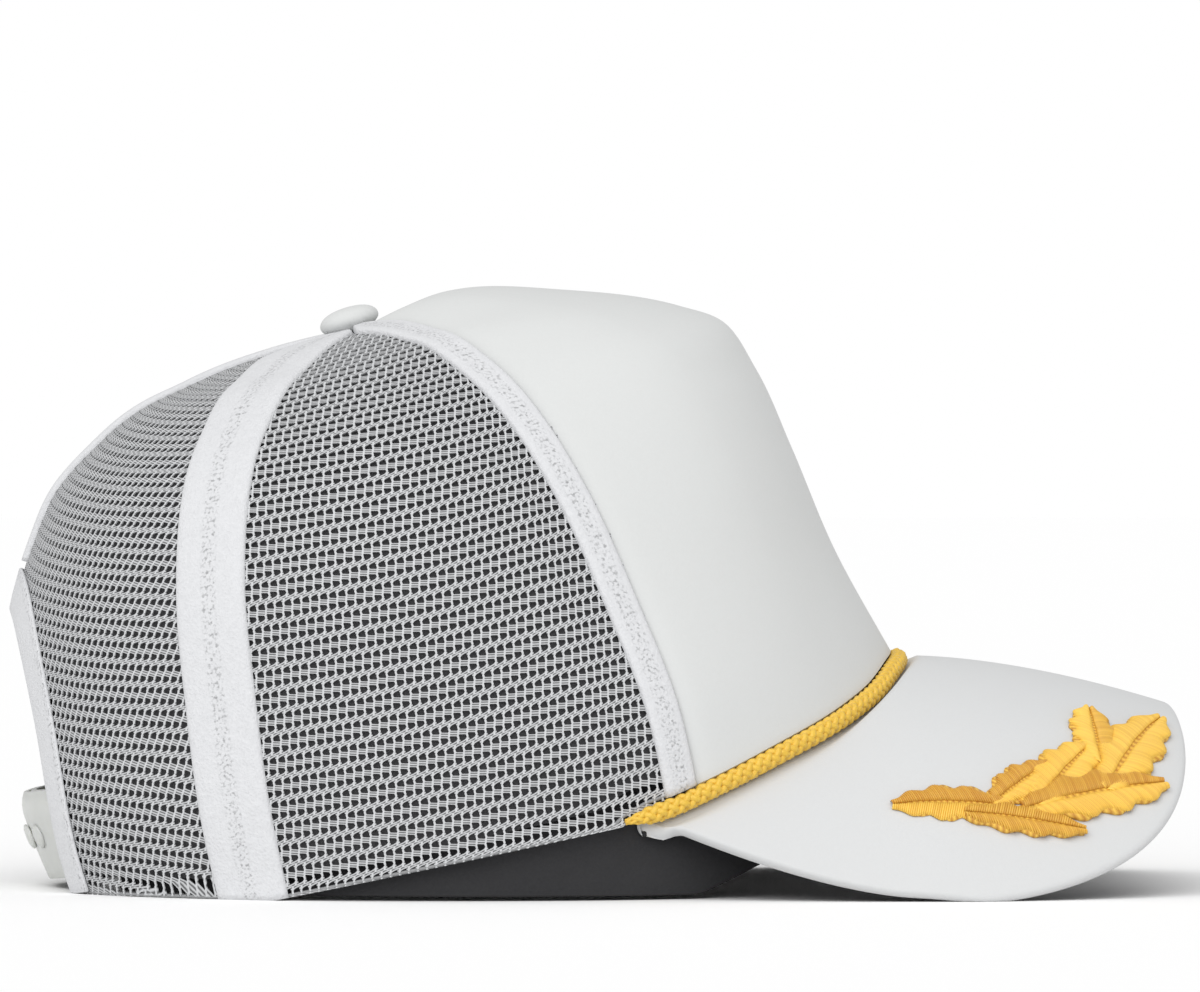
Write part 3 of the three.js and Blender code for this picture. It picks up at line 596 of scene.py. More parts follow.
def attribute(tree, name, kind="FLOAT"):
    """A number or vector stored on the points of a mesh."""
    return add_node(tree, "GeometryNodeInputNamedAttribute", {0: name}, data_type=kind).outputs[0]


# %% Geometry trees
def position(tree):
    """Where each point is."""
    return tree.nodes.new("GeometryNodeInputPosition").outputs[0]


def with_number(tree, geometry, name, value):
    """Stores a number on each point of a geometry."""
    kept = {"Geometry": geometry, "Name": name, "Value": value}
    settings = {"data_type": "FLOAT", "domain": "POINT"}
    return add_node(tree, "GeometryNodeStoreNamedAttribute", kept, **settings).outputs[0]


def geometry_tree(name, *inputs):
    """A geometry tree with these inputs and a material, and the sockets that it is given."""
    inputs = [("Geometry", "Geometry", None), *inputs, ("Material", "Material", None)]
    tree = new_tree(name, inputs=inputs, outputs=[("Geometry", "Geometry")])
    return tree, tree.nodes.new("NodeGroupInput").outputs


def end_tree(tree, geometry, material, smooth=True):
    """Shades realized geometry, gives it its material and puts it out."""
    shaded = add_node(tree, "GeometryNodeSetShadeSmooth", {0: geometry, "Shade Smooth": smooth}).outputs[0]
    final = add_node(tree, "GeometryNodeSetMaterial", {0: shaded, "Material": material}).outputs[0]
    add_node(tree, "NodeGroupOutput", {0: final})
    return tree


def run_tree(made, tree, values):
    """Puts a geometry tree on an object with these values, and keeps the result as a plain mesh."""
    modifier = made.modifiers.new(tree.name, "NODES")
    modifier.node_group = tree
    sockets = [s for s in tree.interface.items_tree if s.item_type == "SOCKET" and s.in_out == "INPUT"]
    names = {socket.name: socket.identifier for socket in sockets}
    for title, value in values.items():
        modifier[names[title]] = value
    return settled(made)

# %% [markdown]
# ## The nap that all cloth shares
# Brushed cloth is never one even colour: it has a slight mottling and a fine fuzz. Every cloth here needs
# both, so they are made once, as a shader node group with named inputs. It puts out a mask and a height
# only, and the materials below feed them into the Principled shader, each with its own values.

# %% Shader group
FUZZ_SHARE = 0.6  # how much of the mask is fine fuzz, the rest being broad mottling


def nap_group():
    tree = new_tree(
        "nap",
        "ShaderNodeTree",
        inputs=[("Coordinates", "Vector", None), ("Grain", "Float", 900.0), ("Blotch", "Float", 60.0)],
        outputs=[("Mask", "Float"), ("Height", "Float")],
    )
    given = tree.nodes.new("NodeGroupInput").outputs
    noises = []
    for scale, detail in ((given["Grain"], 3.0), (given["Blotch"], 2.0)):
        noise = {"Vector": given["Coordinates"], "Scale": scale, "Detail": detail}
        noises.append(add_node(tree, "ShaderNodeTexNoise", noise).outputs["Fac"])
    fine, broad = noises
    mixed = maths(tree, "MULTIPLY_ADD", fine, FUZZ_SHARE, maths(tree, "MULTIPLY", broad, 1 - FUZZ_SHARE))
    add_node(tree, "NodeGroupOutput", {0: mixed, 1: fine})
    return tree


NAP = nap_group()
print("shader group:", NAP.name, len(NAP.nodes), "nodes")

# %% [markdown]
# ## Finishes
# One function makes a cloth material, because foam, tape, lining, visor cloth, yarn and rope differ only in
# colour, thread and nap. The net's yarn and the tape then get darker threads and needle marks from their
# UV maps. The embroidery silk reads each thread's painted light and tone, and the plastic strap lets light
# in a little.

# %% Cloth materials
# roughness, fuzz and mottling per metre, height of the fuzz in millimetres, and sheen
SMOOTH_CLOTH = (0.95, 1600, 30, 0.05, 0.15)
DARK_CLOTH = (1.0, 1400, 90, 0.1, 0.0)


def new_material(name):
    made = bpy.data.materials.new(name)
    made.use_nodes = True
    tree = made.node_tree
    return made, tree, tree.nodes["Principled BSDF"]


def set_values(shader, values):
    """Plain numbers and colours, set on the shader's own sockets."""
    for title, value in values.items():
        shader.inputs[title].default_value = value


def two_colours(tree, shader, mask, dark, light):
    """The base colour: dark where the mask is 0 and light where it is 1."""
    colours = {0: mask, 6: (*dark, 1), 7: (*light, 1)}
    mixed = add_node(tree, "ShaderNodeMix", colours, data_type="RGBA")
    tree.links.new(mixed.outputs[2], shader.inputs["Base Color"])


def lifted(tree, shader, height, most_mm):
    """Surface relief from a height between 0 and 1."""
    lift = add_node(tree, "ShaderNodeBump", {"Height": height, "Distance": most_mm * MM})
    tree.links.new(lift.outputs["Normal"], shader.inputs["Normal"])


def cloth_material(name, light, dark, roughness, grain, blotch, bump, sheen=0.0):
    """Brushed or knitted cloth: two near colours mixed by the nap, which also lifts the surface."""
    made, tree, shader = new_material(name)
    place = add_node(tree, "ShaderNodeTexCoord").outputs["Object"]
    nap = add_node(tree, "ShaderNodeGroup", node_tree=NAP)
    tree.links.new(place, nap.inputs["Coordinates"])
    set_values(nap, {"Grain": grain, "Blotch": blotch})
    two_colours(tree, shader, nap.outputs["Mask"], dark, light)
    lifted(tree, shader, nap.outputs["Height"], bump)
    set_values(shader, {"Roughness": roughness, "Sheen Weight": sheen, "Sheen Roughness": 0.5})
    return made


FOAM = cloth_material("foam cloth", (0.635, 0.645, 0.64), (0.60, 0.61, 0.605), *SMOOTH_CLOTH)
# the visor cloth is a little darker than the foam cloth: painted shade for its upward face
SHADED_VISOR_CLOTH = cloth_material("visor cloth", (0.62, 0.627, 0.63), (0.59, 0.597, 0.60), *SMOOTH_CLOTH)
CHARCOAL = cloth_material("charcoal cloth", (0.035, 0.035, 0.037), (0.02, 0.02, 0.022), *DARK_CLOTH)
LINING = cloth_material("charcoal lining", (0.10, 0.10, 0.105), (0.07, 0.07, 0.074), *DARK_CLOTH)
GOLD_ROPE = cloth_material("gold braid", (0.90, 0.60, 0.07), (0.62, 0.36, 0.03), 0.4, 1800, 300, 0.15, 0.1)
print("cloth materials:", len(bpy.data.materials))

# %% Knitted yarn and tape
ROW_PITCH = 2.56  # between the net's rows
THREAD_PITCH = 0.56  # between the threads that close the net between two holes
DIAGONAL = math.radians(31)
NEEDLE_PITCH = 2.6  # between needle marks along a tape
NEEDLE_BAND = 2.1  # half the width of the band of needle marks
NEEDLE_SHADE = 0.5  # a needle mark's colour, as a share of the tape's
LEVEL_START, SLANTING_START = -0.72, 0.81  # the first thread below a hole and the first over it
UPRIGHT_FROM = 0.8  # upright threads start this far beside a hole's middle
GROOVE_SHADE = 0.15  # the groove's colour between two threads, as a share of the yarn's


def lines(tree, parts, pitch_mm, start_mm=0.0, lean=0.0):
    """Threads side by side: 1 on each thread and 0 between, leaning by an angle from level."""
    along = maths(tree, "MULTIPLY_ADD", parts[0], -math.sin(lean), -start_mm * MM)
    across = maths(tree, "MULTIPLY_ADD", parts[1], math.cos(lean), along)
    turn = maths(tree, "MULTIPLY", across, 2 * math.pi / (pitch_mm * MM))
    return maths(tree, "MULTIPLY_ADD", maths(tree, "COSINE", turn), 0.5, 0.5)


def cloth_with_marks(name, *values):
    """A cloth material, with its tree, its shader and its UV map as a vector and as numbers."""
    made = cloth_material(name, *values)
    tree = made.node_tree
    place = add_node(tree, "ShaderNodeUVMap", uv_map="UVMap").outputs[0]
    return made, tree, tree.nodes["Principled BSDF"], place, split(tree, place)


def darkened(tree, shader, mask, dark):
    """The base colour as it is where the mask is 1, and a share of itself where it is 0."""
    share = maths(tree, "MULTIPLY_ADD", mask, 1 - dark, dark)
    colour = shader.inputs["Base Color"].links[0].from_socket
    tree.links.new(vector_maths(tree, "SCALE", colour, scale=share), shader.inputs["Base Color"])


def yarn_material():
    """The net's yarn: level threads below a hole's flat foot, slanting ones over its peak, and upright
    ones between."""
    light, dark = (0.69, 0.70, 0.713), (0.42, 0.425, 0.434)
    made, tree, shader, _, parts = cloth_with_marks("net yarn", light, dark, 0.8, 2600, 900, 0.1)
    level = lines(tree, parts, THREAD_PITCH, LEVEL_START)
    slanting = lines(tree, parts, THREAD_PITCH, SLANTING_START, DIAGONAL)
    above = maths(tree, "GREATER_THAN", parts[1], 0.0)
    threads = add_node(tree, "ShaderNodeMix", {0: above, 2: level, 3: slanting}).outputs[0]
    upright = maths(tree, "GREATER_THAN", maths(tree, "ABSOLUTE", parts[0]), UPRIGHT_FROM * MM)
    darkened(tree, shader, maths(tree, "MAXIMUM", threads, upright), GROOVE_SHADE)
    return made


def tape_material():
    """Soft knitted tape with a band of faint needle marks along it."""
    light, dark = (0.73, 0.735, 0.75), (0.56, 0.565, 0.58)
    made, tree, shader, place, parts = cloth_with_marks("seam tape", light, dark, 0.95, 1500, 500, 0.3, 0.1)
    specks = {"Vector": place, "Scale": 1300.0, "Detail": 1.0}
    specks = add_node(tree, "ShaderNodeTexNoise", specks).outputs["Fac"]
    specks = add_node(tree, "ShaderNodeMapRange", {0: specks, 1: 0.5, 2: 0.68}).outputs[0]
    away = maths(tree, "DIVIDE", maths(tree, "ABSOLUTE", parts[0]), NEEDLE_BAND * MM)
    near = maths(tree, "SUBTRACT", 1.0, maths(tree, "MINIMUM", maths(tree, "POWER", away, 4.0), 1.0))
    dots = maths(tree, "MULTIPLY_ADD", lines(tree, parts, NEEDLE_PITCH), 0.5, 0.5)
    mark = maths(tree, "MULTIPLY", maths(tree, "MULTIPLY", near, dots), specks)
    darkened(tree, shader, maths(tree, "SUBTRACT", 1.0, mark), NEEDLE_SHADE)
    return made


def silk_material():
    """Embroidery silk: dark gold in the grooves, a painted shade, and on each thread its painted light and
    tone.
    """
    made, tree, shader = new_material("gold silk")
    tone = add_node(tree, "ShaderNodeAttribute", attribute_name="tone").outputs["Fac"]
    # the dark and light gold are one silk, shaded and lit: painted shade and painted light
    two_colours(tree, shader, tone, (0.52, 0.22, 0.02), (0.93, 0.60, 0.09))
    set_values(shader, {"Roughness": 0.45})
    return made


YARN = yarn_material()
TAPE = tape_material()
GOLD_SILK = silk_material()
print("thread materials:", YARN.name, TAPE.name, GOLD_SILK.name)

# %% Strap plastic
def plastic_material():
    """Milky moulded plastic: light goes a little way in, and the surface has a faint orange-peel."""
    made, tree, shader = new_material("milky plastic")
    place = add_node(tree, "ShaderNodeTexCoord").outputs["Object"]
    noise = {"Vector": place, "Scale": 120.0, "Detail": 2.0}
    cloud = add_node(tree, "ShaderNodeTexNoise", noise).outputs["Fac"]
    two_colours(tree, shader, cloud, (0.54, 0.555, 0.525), (0.64, 0.65, 0.625))
    lifted(tree, shader, cloud, 0.1)
    inside = {"Subsurface Weight": 0.5, "Subsurface Radius": (0.004, 0.004, 0.0035), "Subsurface Scale": 1.0}
    set_values(shader, {"Roughness": 0.35, **inside})
    return made


PLASTIC = plastic_material()
print("materials:", len(bpy.data.materials))

# %% [markdown]
# ## The foam front
# The front is one soft foam panel under smooth cloth. On the real cap its side edges are pressed down where
# they are sewn, so the face swells between the seams and dips into each. Both faces come from the crown
# function with their own depths, which keeps the panel where its solid is.

# %% Front panel
FOAM_WALL = 2.8
FOAM_SWELL = 1.3
FOAM_EDGE_DIP = 1.5  # how far the face is pressed down at a seam
FOAM_DIP_WIDE = 2.0  # how fast it rises away from the seam
FRONT_COLUMNS, FRONT_ROWS = 121, 101
FOAM_SIDE_GAP = 0.1  # from its side edge to the seam
FOAM_TUCK, FOAM_TUCK_POWER = 1.2, 20  # how much further down its inner face reaches, behind the rope
FOAM_EDGE_ROUND = 0.5
UNDER_BUTTON_FOAM = 0.9  # how far the pile of layers under the button lifts the face
UNDER_BUTTON_FROM = 0.86


def under_button(travel):
    """Share of the pile of layers under the button, 1 at the top end."""
    share = np.clip((travel - UNDER_BUTTON_FROM) / (TOP_END - UNDER_BUTTON_FROM), 0, 1)
    return share * share * (3 - 2 * share)


def front_panel():
    lean = np.linspace(-1, 1, FRONT_COLUMNS)[:, None]
    start = base_travel(lean * FRONT_SEAM)
    travel = start + (TOP_END - start) * np.linspace(0, 1, FRONT_ROWS)[None, :]
    azimuth = lean * (FRONT_SEAM - degrees_for(FOAM_SIDE_GAP, FRONT_SEAM, travel))
    swell = FOAM_SWELL * (azimuth / FRONT_SEAM) ** 2
    to_seam = (1 - np.abs(lean)) * FRONT_SEAM * np.radians(radius_at(FRONT_SEAM, travel))
    dip = FOAM_EDGE_DIP * np.exp(-to_seam / FOAM_DIP_WIDE)
    face = swell - dip + UNDER_BUTTON_FOAM * under_button(travel)
    tucked = FOAM_TUCK / TRAVEL_MM * np.linspace(1, 0, FRONT_ROWS)[None, :] ** FOAM_TUCK_POWER
    outer = crown(azimuth, travel, face)
    inner = crown(azimuth, travel - tucked, swell - FOAM_WALL)
    flat = flat_map(azimuth * np.radians(radius_at(0, travel)), travel * TRAVEL_MM)
    return rounded(wall("front_panel_foam", outer, inner, flat), FOAM_EDGE_ROUND)


foam = dressed(front_panel(), FOAM, "foam", "front_panel")

# %% [markdown]
# ## The net
# The net is the cap's main texture: rows of holes with a flat foot and rows of the same holes upside down
# take turns, and after every two rows the holes start a third of a hole further along. A picture of a net
# would look flat at the cap's edge, so the holes are cut. Geometry Nodes set one small cell on each point,
# turned half round in every other row, weld the cells, give the sheet its thickness and lay it on the panel.
# The panel is a guide mesh whose UV map is the flat cloth, and Sample UV Surface finds where each point of
# the flat net comes to lie. Cells at an edge are pressed flat against it, as a hem's folded net is.

# %% Flat cell of the net
COLUMN_PITCH = 2.062  # between holes along a row, level
COLUMN_RISE = 0.446  # each hole of a row is this much higher than the last
GRAIN_SKEW = math.atan2(COLUMN_RISE, COLUMN_PITCH)
LOWEST_ROW, NET_ROWS, NET_COLUMNS = -20, 102, 90
# corners of one hole, right and up: a flat foot, and a peak a little right of its middle
HOLE = [
    (-0.54, 0.5),
    (0.0, 0.82),
    (0.34, 0.93),
    (0.62, 0.5),
    (0.93, -0.44),
    (0.76, -0.68),
    (-0.6, -0.68),
    (-0.97, -0.08),
]


def net_cell():
    """One flat cell, a skewed rectangle with a hole; its UV map is its own place, so threads run right."""
    steps, corners = len(HOLE) // 2, len(HOLE)
    top, foot = [], []
    for k in range(steps):
        x = -COLUMN_PITCH / 2 + COLUMN_PITCH * k / (steps - 1)
        y = -COLUMN_RISE / 2 + COLUMN_RISE * k / (steps - 1)
        top.append((x, y + ROW_PITCH / 2, 0))
        foot.append((x, y - ROW_PITCH / 2, 0))
    points = np.array(top + foot[::-1] + [(x, y, 0) for x, y in HOLE])
    rim = [(k, (k + 1) % corners) for k in range(corners)]
    faces = [[corners + a, corners + b, b, a] for a, b in rim]
    return new_object("net cell", points, faces, points[:, :2] * MM)


cell = net_cell()
print("net cell:", len(cell.data.polygons), "quads")

# %% Guide surface of a net panel
CLOTH_SPAN = 0.26  # metres of flat cloth across the whole UV map
CLOTH_LOW = 0.15  # share of the map below the rim
GUIDE_COLUMNS, GUIDE_ROWS = 61, 100
GUIDE_TOP = 0.985  # travel where the guide ends
GUIDE_BEYOND, GUIDE_MOST = 4.0, 40.0  # millimetres and most degrees past each side edge
SKIRT_ROWS = np.array([2.2, 0.5, 0.42])  # rows of holes beyond an end
NOT_HERE = -10.0  # room where no cell is wanted
ARCH_HALF, ARCH_TOP, ARCH_POWER = 22.5, 0.4, 2.4


def arch_edge(turn):
    """Edge of the back opening: turn 0 at the foot, a quarter turn at the top, as azimuth and travel."""
    power = 2 / ARCH_POWER
    foot = rim_travel(BACK_SEAM - ARCH_HALF)
    turn = np.asarray(turn, float)
    azimuth = BACK_SEAM - ARCH_HALF * np.sign(np.cos(turn)) * np.abs(np.cos(turn)) ** power
    return azimuth, foot + (ARCH_TOP - foot) * np.maximum(np.sin(turn), 0) ** power


def arch_room(azimuth, travel):
    """Millimetres from the back opening, below zero inside it."""
    edge_azimuth, edge_travel = arch_edge(np.linspace(-0.02, math.pi / 2, 120))
    degree = math.radians(SECTIONS[180][0][0])
    across, up = azimuth[..., None] - edge_azimuth, travel[..., None] - edge_travel
    away = np.hypot(across * degree, up * TRAVEL_MM).min(axis=-1)
    foot = rim_travel(BACK_SEAM - ARCH_HALF)
    across = np.abs(BACK_SEAM - azimuth) / ARCH_HALF
    up = np.maximum(travel - foot, 0) / (ARCH_TOP - foot)
    return np.where(across**ARCH_POWER + up**ARCH_POWER < 1, -away, away)


def net_guide(name, side, low_azimuth, high_azimuth, arched):
    """The panel's surface: UV is the flat cloth, room the distance to the panel's edges."""
    middle = (low_azimuth + high_azimuth) / 2
    share = np.linspace(0, 1, GUIDE_COLUMNS)[:, None]
    base = base_travel(low_azimuth + (high_azimuth - low_azimuth) * share)
    face_travel = base + (GUIDE_TOP - base) * np.linspace(0, 1, GUIDE_ROWS)[None, :]
    levels = np.linspace(0, 1, 400)
    risen = added_up(spacing(crown(np.full_like(levels, middle), levels)))

    def layer(travel):
        spread = np.minimum(degrees_for(GUIDE_BEYOND, middle, travel), GUIDE_MOST)
        azimuth = low_azimuth - spread + (high_azimuth - low_azimuth + 2 * spread) * share
        points = crown(side * azimuth, travel)
        u = added_up(spacing(points))
        u = side * (u - u[GUIDE_COLUMNS // 2])
        room = np.minimum(azimuth - low_azimuth, high_azimuth - azimuth)
        room = room * np.radians(radius_at(middle, travel))
        room = np.minimum(room, (TOP_END - travel) * TRAVEL_MM)
        if arched:
            room = np.minimum(room, arch_room(azimuth, travel))
        return points, crown_normal(side * azimuth, travel), u, np.interp(travel, levels, risen), room

    def skirted(points, normals, u, v, room):
        """Three more rows past each end, so that cells cut by an edge are pressed flat against it."""
        ends = []
        for end, way in ((slice(0, 1), -1), (slice(-1, None), 1)):
            far = v[:, end] + way * SKIRT_ROWS * ROW_PITCH
            none = np.full_like(room[:, end], NOT_HERE)
            rows = [np.repeat(values[:, end], len(SKIRT_ROWS), 1) for values in (points, normals, u)]
            rows += [far, np.concatenate([none, none, room[:, end]], axis=1)]
            ends.append(rows if way < 0 else [row[:, ::-1] for row in rows])
        face = (points, normals, u, v, room)
        return [np.concatenate(rows, axis=1) for rows in zip(ends[0], face, ends[1])]

    face = layer(face_travel)
    inside = face[4] > 0
    spans = [values[inside].max() - values[inside].min() for values in face[2:4]]
    steps = np.abs(np.gradient(face[2], axis=0)) * np.gradient(face[3], axis=1)
    cut = (spans[0] * MM, spans[1] * MM, steps[inside].sum() * MM**2)
    points, normals, u, v, room = skirted(*face)
    uvs = flat_map(u, v) / CLOTH_SPAN + (0.5, CLOTH_LOW)
    numbers = {"facing": normals.reshape(-1, 3), "room": room.ravel()}
    return new_object(name, points, grid_faces(*u.shape), uvs, numbers), cut


# %% Geometry Nodes: drape flat cloth on a guide
def drape(tree, guide, flat, title):
    """Reads a guide's point attribute at flat positions, given in metres on the cloth."""
    across = vector_maths(tree, "SCALE", flat, scale=1 / CLOTH_SPAN)
    place = vector_maths(tree, "ADD", across, (0.5, CLOTH_LOW, 0.0))
    kind = "FLOAT" if title == "room" else "FLOAT_VECTOR"
    uv_map = attribute(tree, "UVMap", "FLOAT_VECTOR")
    value = position(tree) if title == "position" else attribute(tree, title, kind)
    inputs = {"Mesh": guide, "Value": value, "UV Map": uv_map, "Sample UV": place}
    return add_node(tree, "GeometryNodeSampleUVSurface", inputs, data_type=kind).outputs


def lay_on_guide(tree, geometry, guide, flat):
    """Moves flat geometry onto the guide; its z becomes its height above the surface."""
    where = drape(tree, guide, flat, "position")[0]
    facing = drape(tree, guide, flat, "facing")[0]
    height = split(tree, flat)[2]
    moved = vector_maths(tree, "ADD", where, vector_maths(tree, "SCALE", facing, scale=height))
    return add_node(tree, "GeometryNodeSetPosition", {"Geometry": geometry, "Position": moved}).outputs[0]


# %% Geometry Nodes: the net
WELD = 0.03  # points closer than this become one


def welded(tree, geometry):
    return add_node(tree, "GeometryNodeMergeByDistance", {0: geometry, "Distance": WELD * MM}).outputs[0]


def grid_of_points(tree, given):
    """The net's points in rows and columns, and for each point its row, counted from 0."""
    wide = maths(tree, "MULTIPLY", maths(tree, "SUBTRACT", given["Columns"], 1.0), given["Column pitch"])
    tall = maths(tree, "MULTIPLY", maths(tree, "SUBTRACT", given["Rows"], 1.0), given["Row pitch"])
    sizes = {"Size X": wide, "Size Y": tall, "Vertices X": given["Columns"], "Vertices Y": given["Rows"]}
    grid = add_node(tree, "GeometryNodeMeshGrid", sizes).outputs[0]
    here = split(tree, position(tree))
    from_foot = maths(tree, "ADD", here[1], maths(tree, "DIVIDE", tall, 2.0))
    row = maths(tree, "ROUND", maths(tree, "DIVIDE", from_foot, given["Row pitch"]))
    return grid, here, tall, row


def shifted_rows(tree, given, here, tall, row):
    """Each pair of rows starts a third of a hole further along, and each hole is a little higher."""
    third = maths(tree, "MODULO", maths(tree, "FLOOR", maths(tree, "MULTIPLY_ADD", row, 0.5, 0.5)), 3.0)
    shift = maths(tree, "MULTIPLY", maths(tree, "DIVIDE", third, 3.0), given["Column pitch"])
    slope = maths(tree, "DIVIDE", given["Column rise"], given["Column pitch"])
    climb = maths(tree, "MULTIPLY", maths(tree, "ADD", here[0], shift), slope)
    half = maths(tree, "MULTIPLY", tall, 0.5)
    raised = maths(tree, "MULTIPLY_ADD", given["Lowest row"], given["Row pitch"], half)
    return add_node(tree, "ShaderNodeCombineXYZ", {0: shift, 1: maths(tree, "ADD", raised, climb)}).outputs[0]


def thickened(tree, flat, thickness):
    """The flat sheet, and the same sheet pushed up as its other side, with walls between."""
    back = add_node(tree, "GeometryNodeFlipFaces", {0: flat}).outputs[0]
    push = {"Mesh": back, "Offset Scale": thickness, "Individual": False}
    thick = add_node(tree, "GeometryNodeExtrudeMesh", push).outputs[0]
    both = tree.nodes.new("GeometryNodeJoinGeometry")
    tree.links.new(flat, both.inputs[0])
    tree.links.new(thick, both.inputs[0])
    return welded(tree, both.outputs[0])


def net_tree():
    tree, given = geometry_tree(
        "net panel",
        ("Guide", "Object", None),
        ("Cell", "Object", None),
        ("Columns", "Int", 90),
        ("Rows", "Int", 100),
        ("Lowest row", "Float", 0.0),
        ("Column pitch", "Float", 0.002),
        ("Column rise", "Float", 0.0004),
        ("Row pitch", "Float", 0.0026),
        ("Grain turn", "Float", 0.0),
        ("Yarn thickness", "Float", 0.0005),
        ("Edge room", "Float", 1.0),
    )
    guide = add_node(tree, "GeometryNodeObjectInfo", {0: given["Guide"]}).outputs["Geometry"]
    cell = add_node(tree, "GeometryNodeObjectInfo", {0: given["Cell"]}).outputs["Geometry"]
    grid, here, tall, row = grid_of_points(tree, given)
    kept = with_number(tree, grid, "odd", maths(tree, "MODULO", row, 2.0))
    offset = shifted_rows(tree, given, here, tall, row)
    points = add_node(tree, "GeometryNodeSetPosition", {"Geometry": kept, "Offset": offset}).outputs[0]
    turn = {"Vector": position(tree), "Angle": given["Grain turn"]}
    turned = add_node(tree, "ShaderNodeVectorRotate", turn, rotation_type="Z_AXIS").outputs[0]
    room, on_panel = drape(tree, guide, turned, "room")[:2]
    limits = {0: room, 1: given["Edge room"]}
    more = {"data_type": "FLOAT", "operation": "GREATER_THAN"}
    roomy = add_node(tree, "FunctionNodeCompare", limits, **more).outputs[0]
    inside = add_node(tree, "FunctionNodeBooleanMath", {0: roomy, 1: on_panel}, operation="AND").outputs[0]
    half_turn = maths(tree, "MULTIPLY", attribute(tree, "odd"), math.pi)
    upside_down = add_node(tree, "ShaderNodeCombineXYZ", {2: half_turn}).outputs[0]
    places = {"Points": points, "Selection": inside, "Instance": cell, "Rotation": upside_down}
    cells = add_node(tree, "GeometryNodeInstanceOnPoints", places).outputs[0]
    real = add_node(tree, "GeometryNodeRealizeInstances", {0: cells}).outputs[0]
    sheet = thickened(tree, welded(tree, real), given["Yarn thickness"])
    laid = lay_on_guide(tree, sheet, guide, turned)
    return end_tree(tree, welded(tree, laid), given["Material"], smooth=False)


NET_TREE = net_tree()
print("net tree:", len(NET_TREE.nodes), "nodes")

# %% Four net panels
SIDE_GRAIN = math.radians(1.5)
BACK_GRAIN = math.radians(13.7)
YARN_THICK = 0.35
EDGE_ROOM = 0.6  # cells whose middle is nearer than this to an edge are left out
HEM_ROLL = 0.5  # radius of the fold along the rim
HEM_STEPS, HEM_SIDES = 90, 8
SIDES = {"right": -1, "left": 1}


def hem_roll(side, low_azimuth, high_azimuth):
    """The round fold of the hem, a thin roll along the rim."""
    azimuth = np.linspace(low_azimuth, high_azimuth, HEM_STEPS)[:, None]
    turns = round_turns(HEM_SIDES)[None, :]
    travel = base_travel(azimuth) + HEM_ROLL * (1 + np.sin(turns)) / TRAVEL_MM
    rings = crown(side * azimuth, travel, HEM_ROLL * (np.cos(turns) - 0.9))
    made = ring_body("hem roll", rings, np.zeros((*travel.shape, 2)))
    made.data.shade_smooth()
    return made


def joined(name, parts):
    """Several closed meshes as one object."""
    shape = bmesh.new()
    for part in parts:
        shape.from_mesh(part.data)
        bpy.data.objects.remove(part)
    return from_shape(name, shape)


def net_panel(place, side_name, low_azimuth, high_azimuth, grain, arched):
    side = SIDES[side_name]
    guide, cut = net_guide(f"{place} guide", side, low_azimuth, high_azimuth, arched)
    net = new_object(f"{place} net", np.zeros((1, 3)), [])
    values = {
        "Guide": guide,
        "Cell": cell,
        "Columns": NET_COLUMNS,
        "Rows": NET_ROWS,
        "Lowest row": float(LOWEST_ROW),
        "Column pitch": COLUMN_PITCH * MM,
        "Column rise": COLUMN_RISE * MM,
        "Row pitch": ROW_PITCH * MM,
        "Grain turn": side * grain - GRAIN_SKEW,
        "Yarn thickness": YARN_THICK * MM,
        "Edge room": EDGE_ROOM,
        "Material": YARN,
    }
    run_tree(net, NET_TREE, values)
    bpy.data.objects.remove(guide)
    roll_end = BACK_SEAM - ARCH_HALF if arched else high_azimuth
    made = joined(f"{place}_net_{side_name}_mesh", [net, hem_roll(side, low_azimuth, roll_end)])
    point_outwards(made)
    dressed(made, YARN, "net", f"{place}_net_{side_name}")
    return cut_from(made, cut, "stretched", f"side_seam_tape_{side_name}_cloth")


for side_name in SIDES:
    net_panel("side", side_name, FRONT_SEAM, SIDE_SEAM, SIDE_GRAIN, False)
    net_panel("back", side_name, SIDE_SEAM, BACK_SEAM, BACK_GRAIN, True)

# %% [markdown]
# ## The charcoal lining
# A dark cloth lies close behind the net, which is why each hole shows the same charcoal. It follows
# the net a little over a millimetre inside, so it is one plain wall for each net panel.

# %% Lining panels
LINING_OUTER, LINING_WALL = -1.45, 0.9
LINING_LIFT = 5.0  # it starts this far above the rim, behind the folded hem
LINING_COLUMNS, LINING_ROWS = 31, 41
LINING_ROUND = 0.2
LINING_PLAIN = 0.45  # share of a back lining's columns that stand beside the opening, not over it


